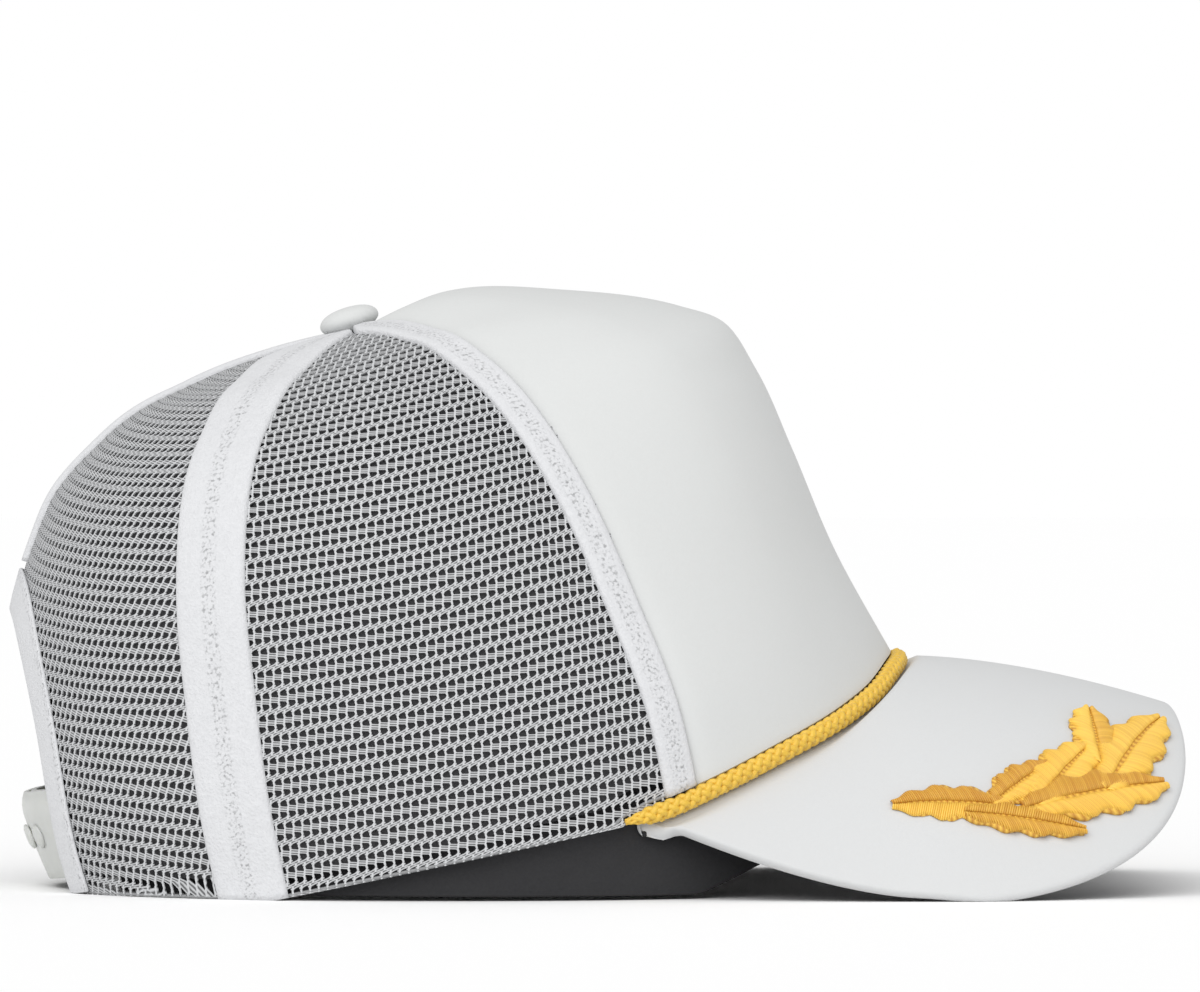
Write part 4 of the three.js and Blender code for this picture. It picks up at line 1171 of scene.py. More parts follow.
def lining_panel(place, side_name, low_azimuth, high_azimuth, arched):
    side = SIDES[side_name]
    share = np.linspace(0, 1, LINING_COLUMNS)[:, None]
    azimuth = low_azimuth + (high_azimuth - low_azimuth) * share
    start = base_travel(azimuth) + LINING_LIFT / TRAVEL_MM
    if arched:
        beside = share <= LINING_PLAIN
        turn = np.maximum((share - LINING_PLAIN) / (1 - LINING_PLAIN), 0) * math.pi / 2
        edge_azimuth, edge_travel = arch_edge(turn)
        foot = BACK_SEAM - ARCH_HALF
        azimuth = np.where(beside, low_azimuth + (foot - low_azimuth) * share / LINING_PLAIN, edge_azimuth)
        above_rim = rim_travel(azimuth) + LINING_LIFT / TRAVEL_MM
        start = np.maximum(above_rim, np.where(beside, 0, edge_travel))
    travel = start + (TOP_END - start) * np.linspace(0, 1, LINING_ROWS)[None, :]
    trim = degrees_for(GAP, high_azimuth, travel)
    azimuth = np.clip(azimuth, low_azimuth + trim, high_azimuth - trim)
    outer = crown(side * azimuth, travel, LINING_OUTER)
    inner = crown(side * azimuth, travel, LINING_OUTER - LINING_WALL)
    flat = flat_map(azimuth * np.radians(radius_at(low_azimuth, travel)), travel * TRAVEL_MM)
    made = rounded(wall(f"{place}_lining_{side_name}_cloth", outer, inner, flat), LINING_ROUND, 2)
    dressed(made, LINING, "lining", f"{place}_lining_{side_name}")
    return cut_from(made, cut_size(outer), "stretched", f"{place}_net_{side_name}_mesh")


for side_name in SIDES:
    lining_panel("side", side_name, FRONT_SEAM, SIDE_SEAM, False)
    lining_panel("back", side_name, SIDE_SEAM, BACK_SEAM, True)

# %% [markdown]
# ## Seam tapes
# White tape covers each seam. It is a narrow strip laid along a line of constant azimuth, a little crowned
# across its width, and it narrows where the seams meet at the button.

# %% Seam tapes
TAPE_WALL = 1.0
TAPE_SUNK = 0.05  # its feathered edges are pressed this far into the net
TAPE_TURNED = 1.0  # cut wider by this, which is turned under at its edges
TAPE_COLUMNS, TAPE_ROWS = 21, 101
# millimetres before and after the seam, most degrees of each near the button, extra thickness there, and
# the place across the tape, from the seam, of the two needle lines' middle
FRONT_TAPE = (-0.1, 8.0, 0.0, 33.0, 0.6, 4.0)
SIDE_TAPE = (5.6, 11.4, 33.0, 28.0, 0.0, 3.0)
BACK_TAPE = (5.0, 5.0, 28.0, 28.0, 0.0, 0.0)


def seam_tape(name, side, seam, sizes, start, *under):
    """Tape laid before and after a seam, from a starting travel up to the button."""
    before, after, most_before, most_after, pile, needles = sizes
    share = (1 - np.cos(math.pi * np.linspace(0, 1, TAPE_COLUMNS)))[:, None] / 2
    rise = np.linspace(0, 1, TAPE_ROWS)[None, :]
    lowest = start(np.full((1, 1), seam))
    near = lowest + (TOP_END - lowest) * rise
    low = np.minimum(degrees_for(before, seam, near), most_before)
    high = np.minimum(degrees_for(after, seam, near), most_after)
    azimuth = seam - low + (low + high) * share
    travel = start(azimuth) + (TOP_END - start(azimuth)) * rise
    full = np.maximum(1 - np.abs(2 * share - 1) ** 8, 0) ** 0.5
    outer = crown(side * azimuth, travel, (GAP + TAPE_WALL + pile * under_button(travel)) * full)
    inner = crown(side * azimuth, travel, GAP * full - TAPE_SUNK)
    flat = flat_map(share * (before + after) - before - needles, travel * TRAVEL_MM)
    made = wall(f"{name}_cloth", outer, inner, flat)
    made.data.shade_smooth()
    dressed(made, TAPE, "tape", name)
    wide, tall, area = cut_size(outer)
    turned = TAPE_TURNED * MM
    return cut_from(made, (wide + turned, tall, area + turned * tall), "laid", *under)


ABOVE_ARCH = ARCH_TOP + 10 / TRAVEL_MM  # the back tape starts over the opening's binding
for side_name, side in SIDES.items():
    side_net, back_net = f"side_net_{side_name}_mesh", f"back_net_{side_name}_mesh"
    seam_tape(f"front_seam_tape_{side_name}", side, FRONT_SEAM, FRONT_TAPE, base_travel, side_net)
    seam_tape(f"side_seam_tape_{side_name}", side, SIDE_SEAM, SIDE_TAPE, base_travel, side_net, back_net)


def above_arch(azimuth):
    return np.full_like(azimuth, ABOVE_ARCH)


back_nets = [f"back_net_{side_name}_mesh" for side_name in SIDES]
seam_tape("back_seam_tape", 1, BACK_SEAM, BACK_TAPE, above_arch, *back_nets)

# %% [markdown]
# ## Binding of the back opening
# A folded white tape closes the net's edge round the back opening. Its section is a narrow U, which is
# swept along the arch. A ring of points at each step keeps the fold round.

# %% Arch binding
BINDING_WIDE = 8.5  # from the opening's edge to the tape's edge
BINDING_BITE = 1.6  # how far the fold stands into the opening
BINDING_ROOT = 0.6  # where the fold starts to bend
BINDING_INNER = -3.3
BINDING_FEATHER = 0.12
BINDING_STEPS = 121


def binding_section():
    """The U of the folded tape: distance out from the arch edge, and depth."""
    outside, inside = GAP + TAPE_WALL, BINDING_INNER - TAPE_WALL
    middle, half = (outside + inside) / 2, (outside - inside) / 2
    legs = np.linspace(BINDING_WIDE, BINDING_ROOT, 7)
    bend = np.linspace(math.pi / 2, -math.pi / 2, 13)
    reach = BINDING_ROOT + BINDING_BITE
    nose = [(BINDING_ROOT - reach * math.cos(t), middle + half * math.sin(t)) for t in bend]
    inner_half = half - TAPE_WALL
    inner_bend = [(0.9 - 1.2 * math.cos(t), middle + inner_half * math.sin(t)) for t in bend[::-1]]
    outer = [(x, outside - BINDING_FEATHER * (x - BINDING_ROOT) / BINDING_WIDE) for x in legs[:-1]] + nose
    outer += [(x, inside) for x in legs[::-1][1:]]
    inner = [(x, BINDING_INNER) for x in legs[:-2]] + inner_bend + [(x, GAP) for x in legs[::-1][2:]]
    return np.array(outer + inner)


def arch_binding():
    section = binding_section()
    turn = np.linspace(0, math.pi, BINDING_STEPS)[:, None]
    azimuth, travel = arch_edge(turn)
    before_azimuth, before_travel = arch_edge(np.maximum(turn - 0.03, 0))
    after_azimuth, after_travel = arch_edge(np.minimum(turn + 0.03, math.pi))
    scale = np.radians(radius_at(BACK_SEAM, travel))
    sideways, upwards = (after_azimuth - before_azimuth) * scale, (after_travel - before_travel) * TRAVEL_MM
    along = unit(np.stack([sideways, upwards], axis=-1))
    out, depth = section[None, :, 0], section[None, :, 1]
    place = azimuth - along[..., 1] * out / scale
    climb = np.maximum(travel + along[..., 0] * out / TRAVEL_MM, rim_travel(place))
    rings = crown(place, climb, np.broadcast_to(depth, place.shape))
    lengths, girth = added_up(spacing(rings[:, 0])), added_up(spacing(section))
    made = ring_body("arch_binding_tape", rings, flat_map(girth[None, :], lengths[:, None]))
    made = dressed(rounded(made, 0.3, 2, 60), TAPE, "tape", "arch_binding")
    wide, tall = girth.max() / 2 * MM, lengths.max() * MM
    return cut_from(made, (wide, tall, wide * tall), "folded", *back_nets)


arch_binding()

# %% [markdown]
# ## The snap strap
# Two milky plastic strips close the back: one has holes and the other has pegs that snap into them. A strip
# is laid out flat, with rings of quads round each hole, gets its thickness and its rounded edges, and is
# then bent round the back of the head.

# %% Strap shape
STRAP_LOW, STRAP_WIDE, STRAP_WALL = 12.8, 21.0, 1.2
STRAP_PITCH = 9.5
STRAP_TUCK, STRAP_BULGE, STRAP_SEWN = -4.8, 5.0, 38.0
STRAP_LEAN, STRAP_TOP_LEAN, STRAP_TOP_FROM = 0.15, 1.5, 0.75
STRAP_TRAVEL = 24 / TRAVEL_MM
STRAP_START, STRAP_END = -26.0, 50.0
STRAP_EDGE = 0.3
STRAP_BLUNT = 0.25  # keeps its free end from closing to a point
HOLE_RADIUS, PEG_RADIUS, PEG_HEAD_RADIUS = 2.7, 2.1, 2.9
PEG_PLACES = [k * STRAP_PITCH for k in (-2.2, -1.2, -0.2, 0.8, 1.8)]


def bent_strap(side, inset, length, up, out):
    """A point of the strap: length from the middle of the back, up its width, and out of its inner face."""
    bulge = STRAP_BULGE * np.maximum(1 - (length / STRAP_SEWN) ** 2, 0)
    bottom = STRAP_LEAN * STRAP_WIDE * np.clip(1 - up / STRAP_WIDE, 0, 1) ** 1.5
    top = STRAP_TOP_LEAN * np.maximum((up / STRAP_WIDE - STRAP_TOP_FROM) / (1 - STRAP_TOP_FROM), 0) ** 2
    azimuth = 180 - np.degrees(length / radius_at(BACK_SEAM, STRAP_TRAVEL))
    base = radius_at(azimuth, np.full_like(azimuth, STRAP_TRAVEL)) + STRAP_TUCK + bulge
    r = base - inset - bottom - top - STRAP_WALL + out
    turn = np.radians(azimuth)
    return to_part(-BUTTON_BACK + r * np.cos(turn), side * r * np.sin(turn), STRAP_LOW + up)


def strap_outline(length):
    """Half the strap's width, rounded at its free end."""
    half = STRAP_WIDE / 2
    round_share = np.minimum((length - STRAP_START + STRAP_BLUNT) / half, 1)
    return half * np.sqrt(np.maximum(1 - (1 - round_share) ** 2, 0))


# %% Flat strip
def flat_strap(holed):
    """The strip as a flat mesh of length and height: cells, holed or not, and strips above and below."""
    cell = STRAP_PITCH / 2
    side_steps, rings, edge_rows = 6, 4, 4
    shape = bmesh.new()
    grid = {}

    def corner(x, y):
        key = (round(x, 4), round(y, 4))
        if key not in grid:
            grid[key] = shape.verts.new((x, y, 0))
        return grid[key]

    def quad(*points):
        ring = [corner(*p) for p in points]
        if len(set(ring)) == 4 and not shape.faces.get(ring):
            shape.faces.new(ring)

    def strip(low_x, high_x, steps, low_y, high_y, rows):
        x = [low_x + (high_x - low_x) * i / steps for i in range(steps + 1)]
        y = [low_y + (high_y - low_y) * j / rows for j in range(rows + 1)]
        for x0, x1 in zip(x, x[1:]):
            for y0, y1 in zip(y, y[1:]):
                quad((x0, y0), (x1, y0), (x1, y1), (x0, y1))

    first = PEG_PLACES[0] - cell
    last = PEG_PLACES[-1] + cell
    half = STRAP_WIDE / 2
    for place in PEG_PLACES:
        strip(place - cell, place + cell, side_steps, -half, -cell, edge_rows)
        strip(place - cell, place + cell, side_steps, cell, half, edge_rows)
        if not holed:
            strip(place - cell, place + cell, side_steps, -cell, cell, side_steps)
            continue
        edge = [-cell + 2 * cell * k / side_steps for k in range(side_steps)]
        square = [(a, -cell) for a in edge] + [(cell, a) for a in edge]
        square += [(-a, cell) for a in edge] + [(-cell, -a) for a in edge]
        for ring in range(rings):
            for k, (a, b) in enumerate(zip(square, square[1:] + square[:1])):
                ends = []
                for share in (ring / rings, (ring + 1) / rings):
                    for x, y in (a, b):
                        r = HOLE_RADIUS / math.hypot(x, y)
                        ends.append((place + x * (r + (1 - r) * share), y * (r + (1 - r) * share)))
                quad(ends[0], ends[2], ends[3], ends[1])
    for low_x, high_x, steps in ((STRAP_START, first, 4), (last, STRAP_END, 24)):
        strip(low_x, high_x, steps, -half, -cell, edge_rows)
        strip(low_x, high_x, steps, -cell, cell, side_steps)
        strip(low_x, high_x, steps, cell, half, edge_rows)
    for vert in shape.verts:
        wide = strap_outline(vert.co.x)
        y = abs(vert.co.y)
        share = (y - cell) / (half - cell)
        kept = min(cell, wide * 0.6)
        y = y * kept / cell if y <= cell else kept + (wide - kept) * share
        vert.co.y = math.copysign(y, vert.co.y)
    return shape


# %% Strip with holes
def strap_strip(name, side, inset, holed):
    """A strip with its thickness, bent round the back of the head."""
    made = from_shape(name, flat_strap(holed))
    solid = made.modifiers.new("wall", "SOLIDIFY")
    solid.thickness = STRAP_WALL
    solid.offset = 1
    edge = made.modifiers.new("rounded edge", "BEVEL")
    edge.width = STRAP_EDGE
    edge.segments = 2
    edge.limit_method = "ANGLE"
    edge.angle_limit = math.radians(60)
    settled(made)
    count = len(made.data.vertices)
    flat = np.zeros(count * 3, np.float32)
    made.data.vertices.foreach_get("co", flat)
    flat = flat.reshape(-1, 3).astype(float)
    bent = bent_strap(side, inset, flat[:, 0], flat[:, 1] + STRAP_WIDE / 2, np.abs(flat[:, 2]))
    made.data.vertices.foreach_set("co", (bent * MM).astype(np.float32).ravel())
    made.data.update()
    point_outwards(made)
    made.data.shade_smooth()
    return made


with_holes = strap_strip("snap_strap_with_holes", -1, 0.0, True)
dressed(with_holes, PLASTIC, "snap", "strap_with_holes")

# %% Pegs
PEG_SIDES = 24
PEG_INSET = STRAP_WALL + 2 * GAP
PEG_STEM = 2 * STRAP_WALL + 3 * GAP
# radius and height over the strip's inner face
PEG_PROFILE = [
    (PEG_RADIUS, STRAP_WALL - 0.2),
    (PEG_RADIUS - 0.15, PEG_STEM - 0.2),
    (PEG_HEAD_RADIUS - 0.2, PEG_STEM),
    (PEG_HEAD_RADIUS, PEG_STEM + 0.3),
    (PEG_HEAD_RADIUS - 0.3, PEG_STEM + 0.75),
    (PEG_HEAD_RADIUS - 1.1, PEG_STEM + 1.0),
]


def peg(place):
    turns = round_turns(PEG_SIDES)
    rings = []
    for radius, rise in PEG_PROFILE:
        length, up = place + radius * np.cos(turns), STRAP_WIDE / 2 + radius * np.sin(turns)
        rings.append(bent_strap(1, PEG_INSET, length, up, np.full_like(turns, rise)))
    made = ring_body("peg", np.array(rings))
    made.data.shade_smooth()
    return made


pegs = [peg(-place) for place in PEG_PLACES]
with_pegs = joined("snap_strap_with_pegs", [strap_strip("strip", 1, PEG_INSET, False), *pegs])
dressed(with_pegs, PLASTIC, "snap", "strap_with_pegs")

# %% [markdown]
# ## The visor
# The visor's top cloth runs over a board and wraps round its edge, so the piece is a ring of points for each
# column: out along the top, round the nose of the edge, a short lip below, and back along its underside.
# The crease where the rope lies is pressed into the inner end.

# %% Visor columns
CREASE_INSIDE, CREASE_FLAT, CREASE_SLOPE = 2.1, 3.1, 3.0
VISOR_COLUMNS, VISOR_ROWS = 181, 40
LIP = 1.0  # how far the cloth wraps under the edge
LIP_MOST = 0.3  # share of a short column that the lip may take
ROW_CROWDING = 1.3  # how closely the rows stand at the crease
UNDERBILL_COLUMNS, UNDERBILL_ROWS = 121, 22
UNDERBILL_INSET = 1.2
UP = np.array([0.0, 0.0, 1.0])


def visor_columns(count):
    """For each column: inner and outer ends on the visor's surface, depth of the crease, and length."""
    lean = np.linspace(-1, 1, count)
    azimuth = lean * VISOR_END
    centre = rope_centre(azimuth)
    behind_rope = crown(azimuth, rope_climb(azimuth) / TRAVEL_MM, ROPE_OUT - CREASE_INSIDE)
    inner = np.stack(visor_under(behind_rope), axis=-1)
    reach, half = visor_outline(1 - np.abs(lean))
    outer = np.stack([reach, np.sign(lean) * half], axis=-1)
    reach, spread = visor_under(centre)
    below = (ROPE_RADIUS + 1.5 * GAP) / visor_normal(reach, spread)[..., 2]
    crease = np.maximum(on_visor(reach, spread)[..., 2] - centre[..., 2] + below, 0)
    return inner, outer, crease, np.linalg.norm(outer - inner, axis=-1)


def visor_point(columns, along, depth):
    """Points at millimetres along each column and a depth above the surface."""
    inner, outer, crease, length = (part[:, None] if part.ndim == 1 else part[:, None, :] for part in columns)
    share = (along / length)[..., None]
    flat = inner + (outer - inner) * share
    dip = crease * np.clip((CREASE_FLAT + CREASE_SLOPE - along) / CREASE_SLOPE, 0, 1)
    lean = np.clip(along / (CREASE_FLAT + CREASE_SLOPE), 0, 1)[..., None]
    upright = unit(UP * (1 - lean) + visor_normal(flat[..., 0], flat[..., 1]) * lean)
    points = on_visor(flat[..., 0], flat[..., 1]) + upright * np.asarray(depth)[..., None]
    points[..., 2] -= dip
    return on_floor(points), flat


def eased_rows(length, count, inset=0.0):
    """Rows along a column, close together at the crease."""
    share = np.linspace(0, 1, count) ** ROW_CROWDING
    return (length - inset)[:, None] * share[None, :]


def flat_cut(flat, grid):
    """Width, length and area of the cloth that covers these places of the unbent visor."""
    reach, spread = flat[..., 0], flat[..., 1]
    return (spread.max() - spread.min()) * MM, (reach.max() - reach.min()) * MM, cut_size(grid)[2]


def visor_top():
    columns = visor_columns(VISOR_COLUMNS)
    length = columns[3]
    full = VISOR_WALL + GAP + UNDERBILL_WALL
    nose = full / 2
    lip = np.minimum(LIP + nose, length * LIP_MOST)
    top = eased_rows(length, VISOR_ROWS, nose)
    turns = np.linspace(math.pi / 2, -math.pi / 2, 9)[1:-1]
    round_along = (length - nose)[:, None] + nose * np.cos(turns)[None, :]
    round_depth = -nose + nose * np.sin(turns)
    lip_in = (length - lip)[:, None]
    under = np.minimum(eased_rows(length, 24)[:, ::-1], lip_in)
    along = np.concatenate([top, round_along, (length - nose)[:, None], lip_in, under], axis=1)
    on_top, below = np.zeros(VISOR_ROWS), np.full(under.shape[1], -VISOR_WALL)
    depth = np.concatenate([on_top, round_depth, [-full, -full], below])
    return visor_point(columns, along, np.broadcast_to(depth, along.shape))


points, flat = visor_top()
visor = ring_body("visor_cloth", points, flat * MM)
visor.data.shade_smooth()
print(visor.name, "rings", points.shape)
visor = dressed(rounded(visor, 0.25, 2, 60), SHADED_VISOR_CLOTH, "visor", "visor")
cut_from(visor, flat_cut(flat, points[:, :VISOR_ROWS]), "stretched", "front_panel_foam")

# %% Underbill
def underbill():
    columns = visor_columns(UNDERBILL_COLUMNS)
    along = eased_rows(columns[3], UNDERBILL_ROWS, UNDERBILL_INSET)
    top = -VISOR_WALL - GAP
    outer, flat = visor_point(columns, along, np.full(along.shape, top))
    inner, _ = visor_point(columns, along, np.full(along.shape, top - UNDERBILL_WALL))
    made = rounded(wall("underbill_cloth", outer, inner, flat * MM), 0.3)
    dressed(made, CHARCOAL, "lining", "underbill")
    return cut_from(made, flat_cut(flat, inner), "stretched", "visor_cloth")


underbill()

# %% [markdown]
# ## The braided rope
# The rope is a round braid of eight strands, four running each way, and each passes over and under the
# others in turn. On the real cap it is sewn into the crease between crown and visor. Geometry Nodes
# copy the rope's centre line eight times, wind each copy round it, and sweep a small section along it.

# %% Braid tree
def strand_turn(tree, given, index):
    """How far round the rope a strand stands at each of its points, and how far out it swings there."""
    way = maths(tree, "MULTIPLY_ADD", maths(tree, "MODULO", index, 2.0), -2.0, 1.0)
    length = tree.nodes.new("GeometryNodeSplineParameter").outputs["Length"]
    lay = maths(tree, "MULTIPLY", maths(tree, "DIVIDE", length, given["Lay length"]), 2 * math.pi)
    place = maths(tree, "FLOOR", maths(tree, "DIVIDE", index, 2.0))
    start = maths(tree, "MULTIPLY", place, maths(tree, "DIVIDE", 4 * math.pi, given["Strands"]))
    turn = maths(tree, "ADD", maths(tree, "MULTIPLY", way, lay), start)
    crossings = maths(tree, "MULTIPLY", lay, maths(tree, "DIVIDE", given["Strands"], 2.0))
    wave = maths(tree, "MULTIPLY", maths(tree, "COSINE", crossings), way)
    return turn, maths(tree, "MULTIPLY", wave, given["Over and under"])


def braid_tree():
    tree, given = geometry_tree(
        "braid",
        ("Points along", "Int", 600),
        ("Strands", "Int", 8),
        ("Rope radius", "Float", 0.0022),
        ("Strand radius", "Float", 0.0008),
        ("Lay length", "Float", 0.0114),
        ("Over and under", "Float", 0.0003),
    )
    curve = add_node(tree, "GeometryNodeMeshToCurve", {0: given["Geometry"]}).outputs[0]
    count = {"Curve": curve, "Count": given["Points along"]}
    even = add_node(tree, "GeometryNodeResampleCurve", count).outputs[0]
    thick = attribute(tree, "thick")
    amount = {"Geometry": even, "Amount": given["Strands"]}
    copies, index = add_node(tree, "GeometryNodeDuplicateElements", amount, domain="SPLINE").outputs[:2]
    turn, swing = strand_turn(tree, given, index)
    taken = maths(tree, "ADD", given["Strand radius"], given["Over and under"])
    middle = maths(tree, "SUBTRACT", given["Rope radius"], taken)
    away = maths(tree, "MULTIPLY", maths(tree, "ADD", middle, swing), thick)
    tangent = tree.nodes.new("GeometryNodeInputTangent").outputs[0]
    level = vector_maths(tree, "NORMALIZE", vector_maths(tree, "CROSS_PRODUCT", tangent, (0.0, 0.0, 1.0)))
    wind = {"Vector": level, "Axis": tangent, "Angle": turn}
    out = add_node(tree, "ShaderNodeVectorRotate", wind, rotation_type="AXIS_ANGLE").outputs[0]
    offset = vector_maths(tree, "SCALE", out, scale=away)
    wound = add_node(tree, "GeometryNodeSetPosition", {"Geometry": copies, "Offset": offset}).outputs[0]
    thin = add_node(tree, "GeometryNodeSetCurveRadius", {"Curve": wound, "Radius": thick}).outputs[0]
    circle = {"Resolution": 8, "Radius": given["Strand radius"]}
    section = add_node(tree, "GeometryNodeCurvePrimitiveCircle", circle).outputs[0]
    sweep = {"Curve": thin, "Profile Curve": section, "Scale": thick, "Fill Caps": True}
    strands = add_node(tree, "GeometryNodeCurveToMesh", sweep).outputs[0]
    real = add_node(tree, "GeometryNodeRealizeInstances", {0: strands}).outputs[0]
    return end_tree(tree, real, given["Material"])


BRAID_TREE = braid_tree()
print("braid tree:", len(BRAID_TREE.nodes), "nodes")

# %% Rope
ROPE_POINTS = 181
ROPE_SIZES = {
    "Rope radius": 2.35 * MM,
    "Strand radius": 0.82 * MM,
    "Over and under": 0.3 * MM,
    "Lay length": 11.4 * MM,
    "Material": GOLD_ROPE,
}
azimuths = np.linspace(-ROPE_END, ROPE_END, ROPE_POINTS)
along_rope = [(k, k + 1) for k in range(ROPE_POINTS - 1)]
taper = {"thick": rope_thickness(azimuths) / ROPE_RADIUS}
rope = new_object("rope_braid", rope_centre(azimuths), [], None, taper, along_rope)
run_tree(rope, BRAID_TREE, ROPE_SIZES)
dressed(rope, GOLD_ROPE, "rope", "rope")

# %% [markdown]
# ## Satin-stitch leaves
# Each leaf is embroidered: threads lie side by side over a soft pad, from the midrib out to a scalloped edge.
# The spray is laid out flat, by reach and spread on the visor, and every leaf gives two lines of points, one
# for each side of its midrib. Each side has its own painted light: silk looks lit or shaded by the way its
# threads lie, and that light and shade is painted into the threads' colour. Geometry Nodes set a thread on
# each point, change its tone a little by a fixed seed, and lay the whole flat spray on the visor with Sample
# UV Surface. A row of light stitches crosses each midrib: it is a dotted tone on the pad, seen where the
# threads leave the midrib open. Between the dots the pad is dark gold, painted shade between the threads.

# %% Leaves
# foot and tip as reach and spread on the visor, full width in millimetres, and the threads' painted light,
# 0 shaded to 1 lit, on the left and right of the right spray's leaf, looking from foot to tip
LEAVES = {
    "trailing": ((24, 81), (-3.6, 82.5), 10, (0.75, 0.3)),
    "short": ((19, 81), (33.6, 65), 9, (0.3, 0.8)),
    "inner": ((29, 79.5), (44.2, 54.5), 12, (0.8, 0.9)),
    "curled": ((46, 61), (46.3, 36.8), 10.5, (0.95, 0.55)),
    "leading": ((45.5, 70), (63, 30.8), 12, (0.8, 0.85)),
    "outer": ((26, 81.5), (59.7, 61.5), 12, (0.3, 0.8)),
    "lower": ((12, 85), (39, 84), 8, (0.4, 0.45)),
}
LEAF_LOBES, LEAF_LOBE_DEEP = 4, 0.14
LEAF_FOOT, LEAF_BODY, LEAF_FULLNESS = 0.06, 0.9, 0.7  # where its curve starts, its length and its roundness
LEAF_STEPS = 60
LEAF_ENDS = (0.01, 0.99)  # share of its length that is stitched
LEAF_LIFT, LEAF_STEP = 0.35, 0.12  # height of the first leaf, and of each leaf over the one before
SATIN_PITCH, SATIN_SLANT = 0.5, 0.35


def leaf_half_width(share, width):
    """Half the width along a leaf, widest a little before its middle, with a scalloped edge."""
    body = np.sin(math.pi * (LEAF_FOOT + LEAF_BODY * share**0.9)) ** LEAF_FULLNESS
    return width / 2 * body * (1 + LEAF_LOBE_DEEP * np.sin(2 * math.pi * LEAF_LOBES * share))


def leaf_lines(side):
    """Midrib lines of all leaves: points, edges, and for each point its half width, side and painted light.
    """
    points, edges, reaches, painted_side_light = [], [], [], []
    for order, (foot, tip, width, tone) in enumerate(LEAVES.values()):
        foot, tip = np.array(foot, float), np.array(tip, float)
        share = np.linspace(*LEAF_ENDS, LEAF_STEPS)
        for hand in (-1, 1):
            first = len(points)
            for s, half in zip(share, leaf_half_width(share, width)):
                place = foot + (tip - foot) * s
                points.append((place[0], side * place[1], LEAF_LIFT + LEAF_STEP * order))
                reaches.append(hand * half)
                painted_side_light.append(tone[0 if hand * side < 0 else 1])
            edges += [(k, k + 1) for k in range(first, len(points) - 1)]
    return points, edges, reaches, painted_side_light


print("leaves:", len(LEAVES), "in a spray")


# %% Satin tree
def satin_tree():
    tree, given = geometry_tree(
        "satin stitch",
        ("Guide", "Object", None),
        ("Thread", "Object", None),
        ("Thread pitch", "Float", 0.0004),
        ("Slant", "Float", 0.35),
        ("Tone wander", "Float", 0.15),
    )
    guide = add_node(tree, "GeometryNodeObjectInfo", {0: given["Guide"]}).outputs["Geometry"]
    thread = add_node(tree, "GeometryNodeObjectInfo", {0: given["Thread"]}).outputs["Geometry"]
    curve = add_node(tree, "GeometryNodeMeshToCurve", {0: given["Geometry"]}).outputs[0]
    pitch = {"Curve": curve, 3: given["Thread pitch"]}
    even = add_node(tree, "GeometryNodeResampleCurve", pitch, mode="LENGTH").outputs[0]
    out = attribute(tree, "out")
    tangent = tree.nodes.new("GeometryNodeInputTangent").outputs[0]
    across = vector_maths(tree, "CROSS_PRODUCT", (0.0, 0.0, 1.0), tangent)
    outwards = vector_maths(tree, "SCALE", across, scale=maths(tree, "SIGN", out))
    forwards = vector_maths(tree, "SCALE", tangent, scale=given["Slant"])
    leaning = {"Vector": vector_maths(tree, "ADD", outwards, forwards)}
    rotation = add_node(tree, "FunctionNodeAlignRotationToVector", leaning, axis="X").outputs[0]
    reach = maths(tree, "ABSOLUTE", out)
    size = add_node(tree, "ShaderNodeCombineXYZ", {0: reach, 1: 1.0, 2: 1.0}).outputs[0]
    range_and_seed = {2: -1.0, 3: 1.0, "Seed": 4}
    chance = add_node(tree, "FunctionNodeRandomValue", range_and_seed, data_type="FLOAT").outputs[1]
    # each thread's painted light for its side of the leaf, with a little random tone
    tone = maths(tree, "MULTIPLY_ADD", chance, given["Tone wander"], attribute(tree, "tone"))
    with_light_and_tone = with_number(tree, even, "tone", tone)
    places = {"Points": with_light_and_tone, "Instance": thread, "Rotation": rotation, "Scale": size}
    threads = add_node(tree, "GeometryNodeInstanceOnPoints", places).outputs[0]
    real = add_node(tree, "GeometryNodeRealizeInstances", {0: threads}).outputs[0]
    laid = lay_on_guide(tree, real, guide, position(tree))
    return end_tree(tree, laid, given["Material"])


SATIN_TREE = satin_tree()
print("satin tree:", len(SATIN_TREE.nodes), "nodes")


# %% Guide and thread
def visor_guide():
    """The visor's surface in steps of a millimetre, with flat reach and spread as its UV map."""
    reach, spread = np.meshgrid(np.arange(-20.0, 69.0), np.arange(-106.0, 107.0), indexing="ij")
    uvs = flat_map(reach, spread) / CLOTH_SPAN + (0.5, CLOTH_LOW)
    facing = {"facing": visor_normal(reach, spread).reshape(-1, 3)}
    return new_object("visor guide", on_visor(reach, spread), grid_faces(*reach.shape), uvs, facing)


THREAD_STEPS, THREAD_SIDES = 7, 6
THREAD_RADIUS = 0.26
THREAD_ARCH = 0.75
THREAD_START = 0.08  # share of the half leaf left open along the midrib


def thread_mesh():
    """One thread of unit length, arched over the pad, with a rounded end at each side."""
    share = np.linspace(THREAD_START, 1, THREAD_STEPS)
    turns = round_turns(THREAD_SIDES)
    rise = THREAD_ARCH * np.sin(math.pi * share) ** 0.6
    rings = np.zeros((THREAD_STEPS, THREAD_SIDES, 3))
    rings[..., 0] = share[:, None] / MM
    rings[..., 1] = THREAD_RADIUS * np.cos(turns)[None, :]
    rings[..., 2] = rise[:, None] + THREAD_RADIUS * np.sin(turns)[None, :]
    return ring_body("satin thread", rings)


guide = visor_guide()
satin_thread = thread_mesh()
print("one thread:", len(satin_thread.data.polygons), "faces")

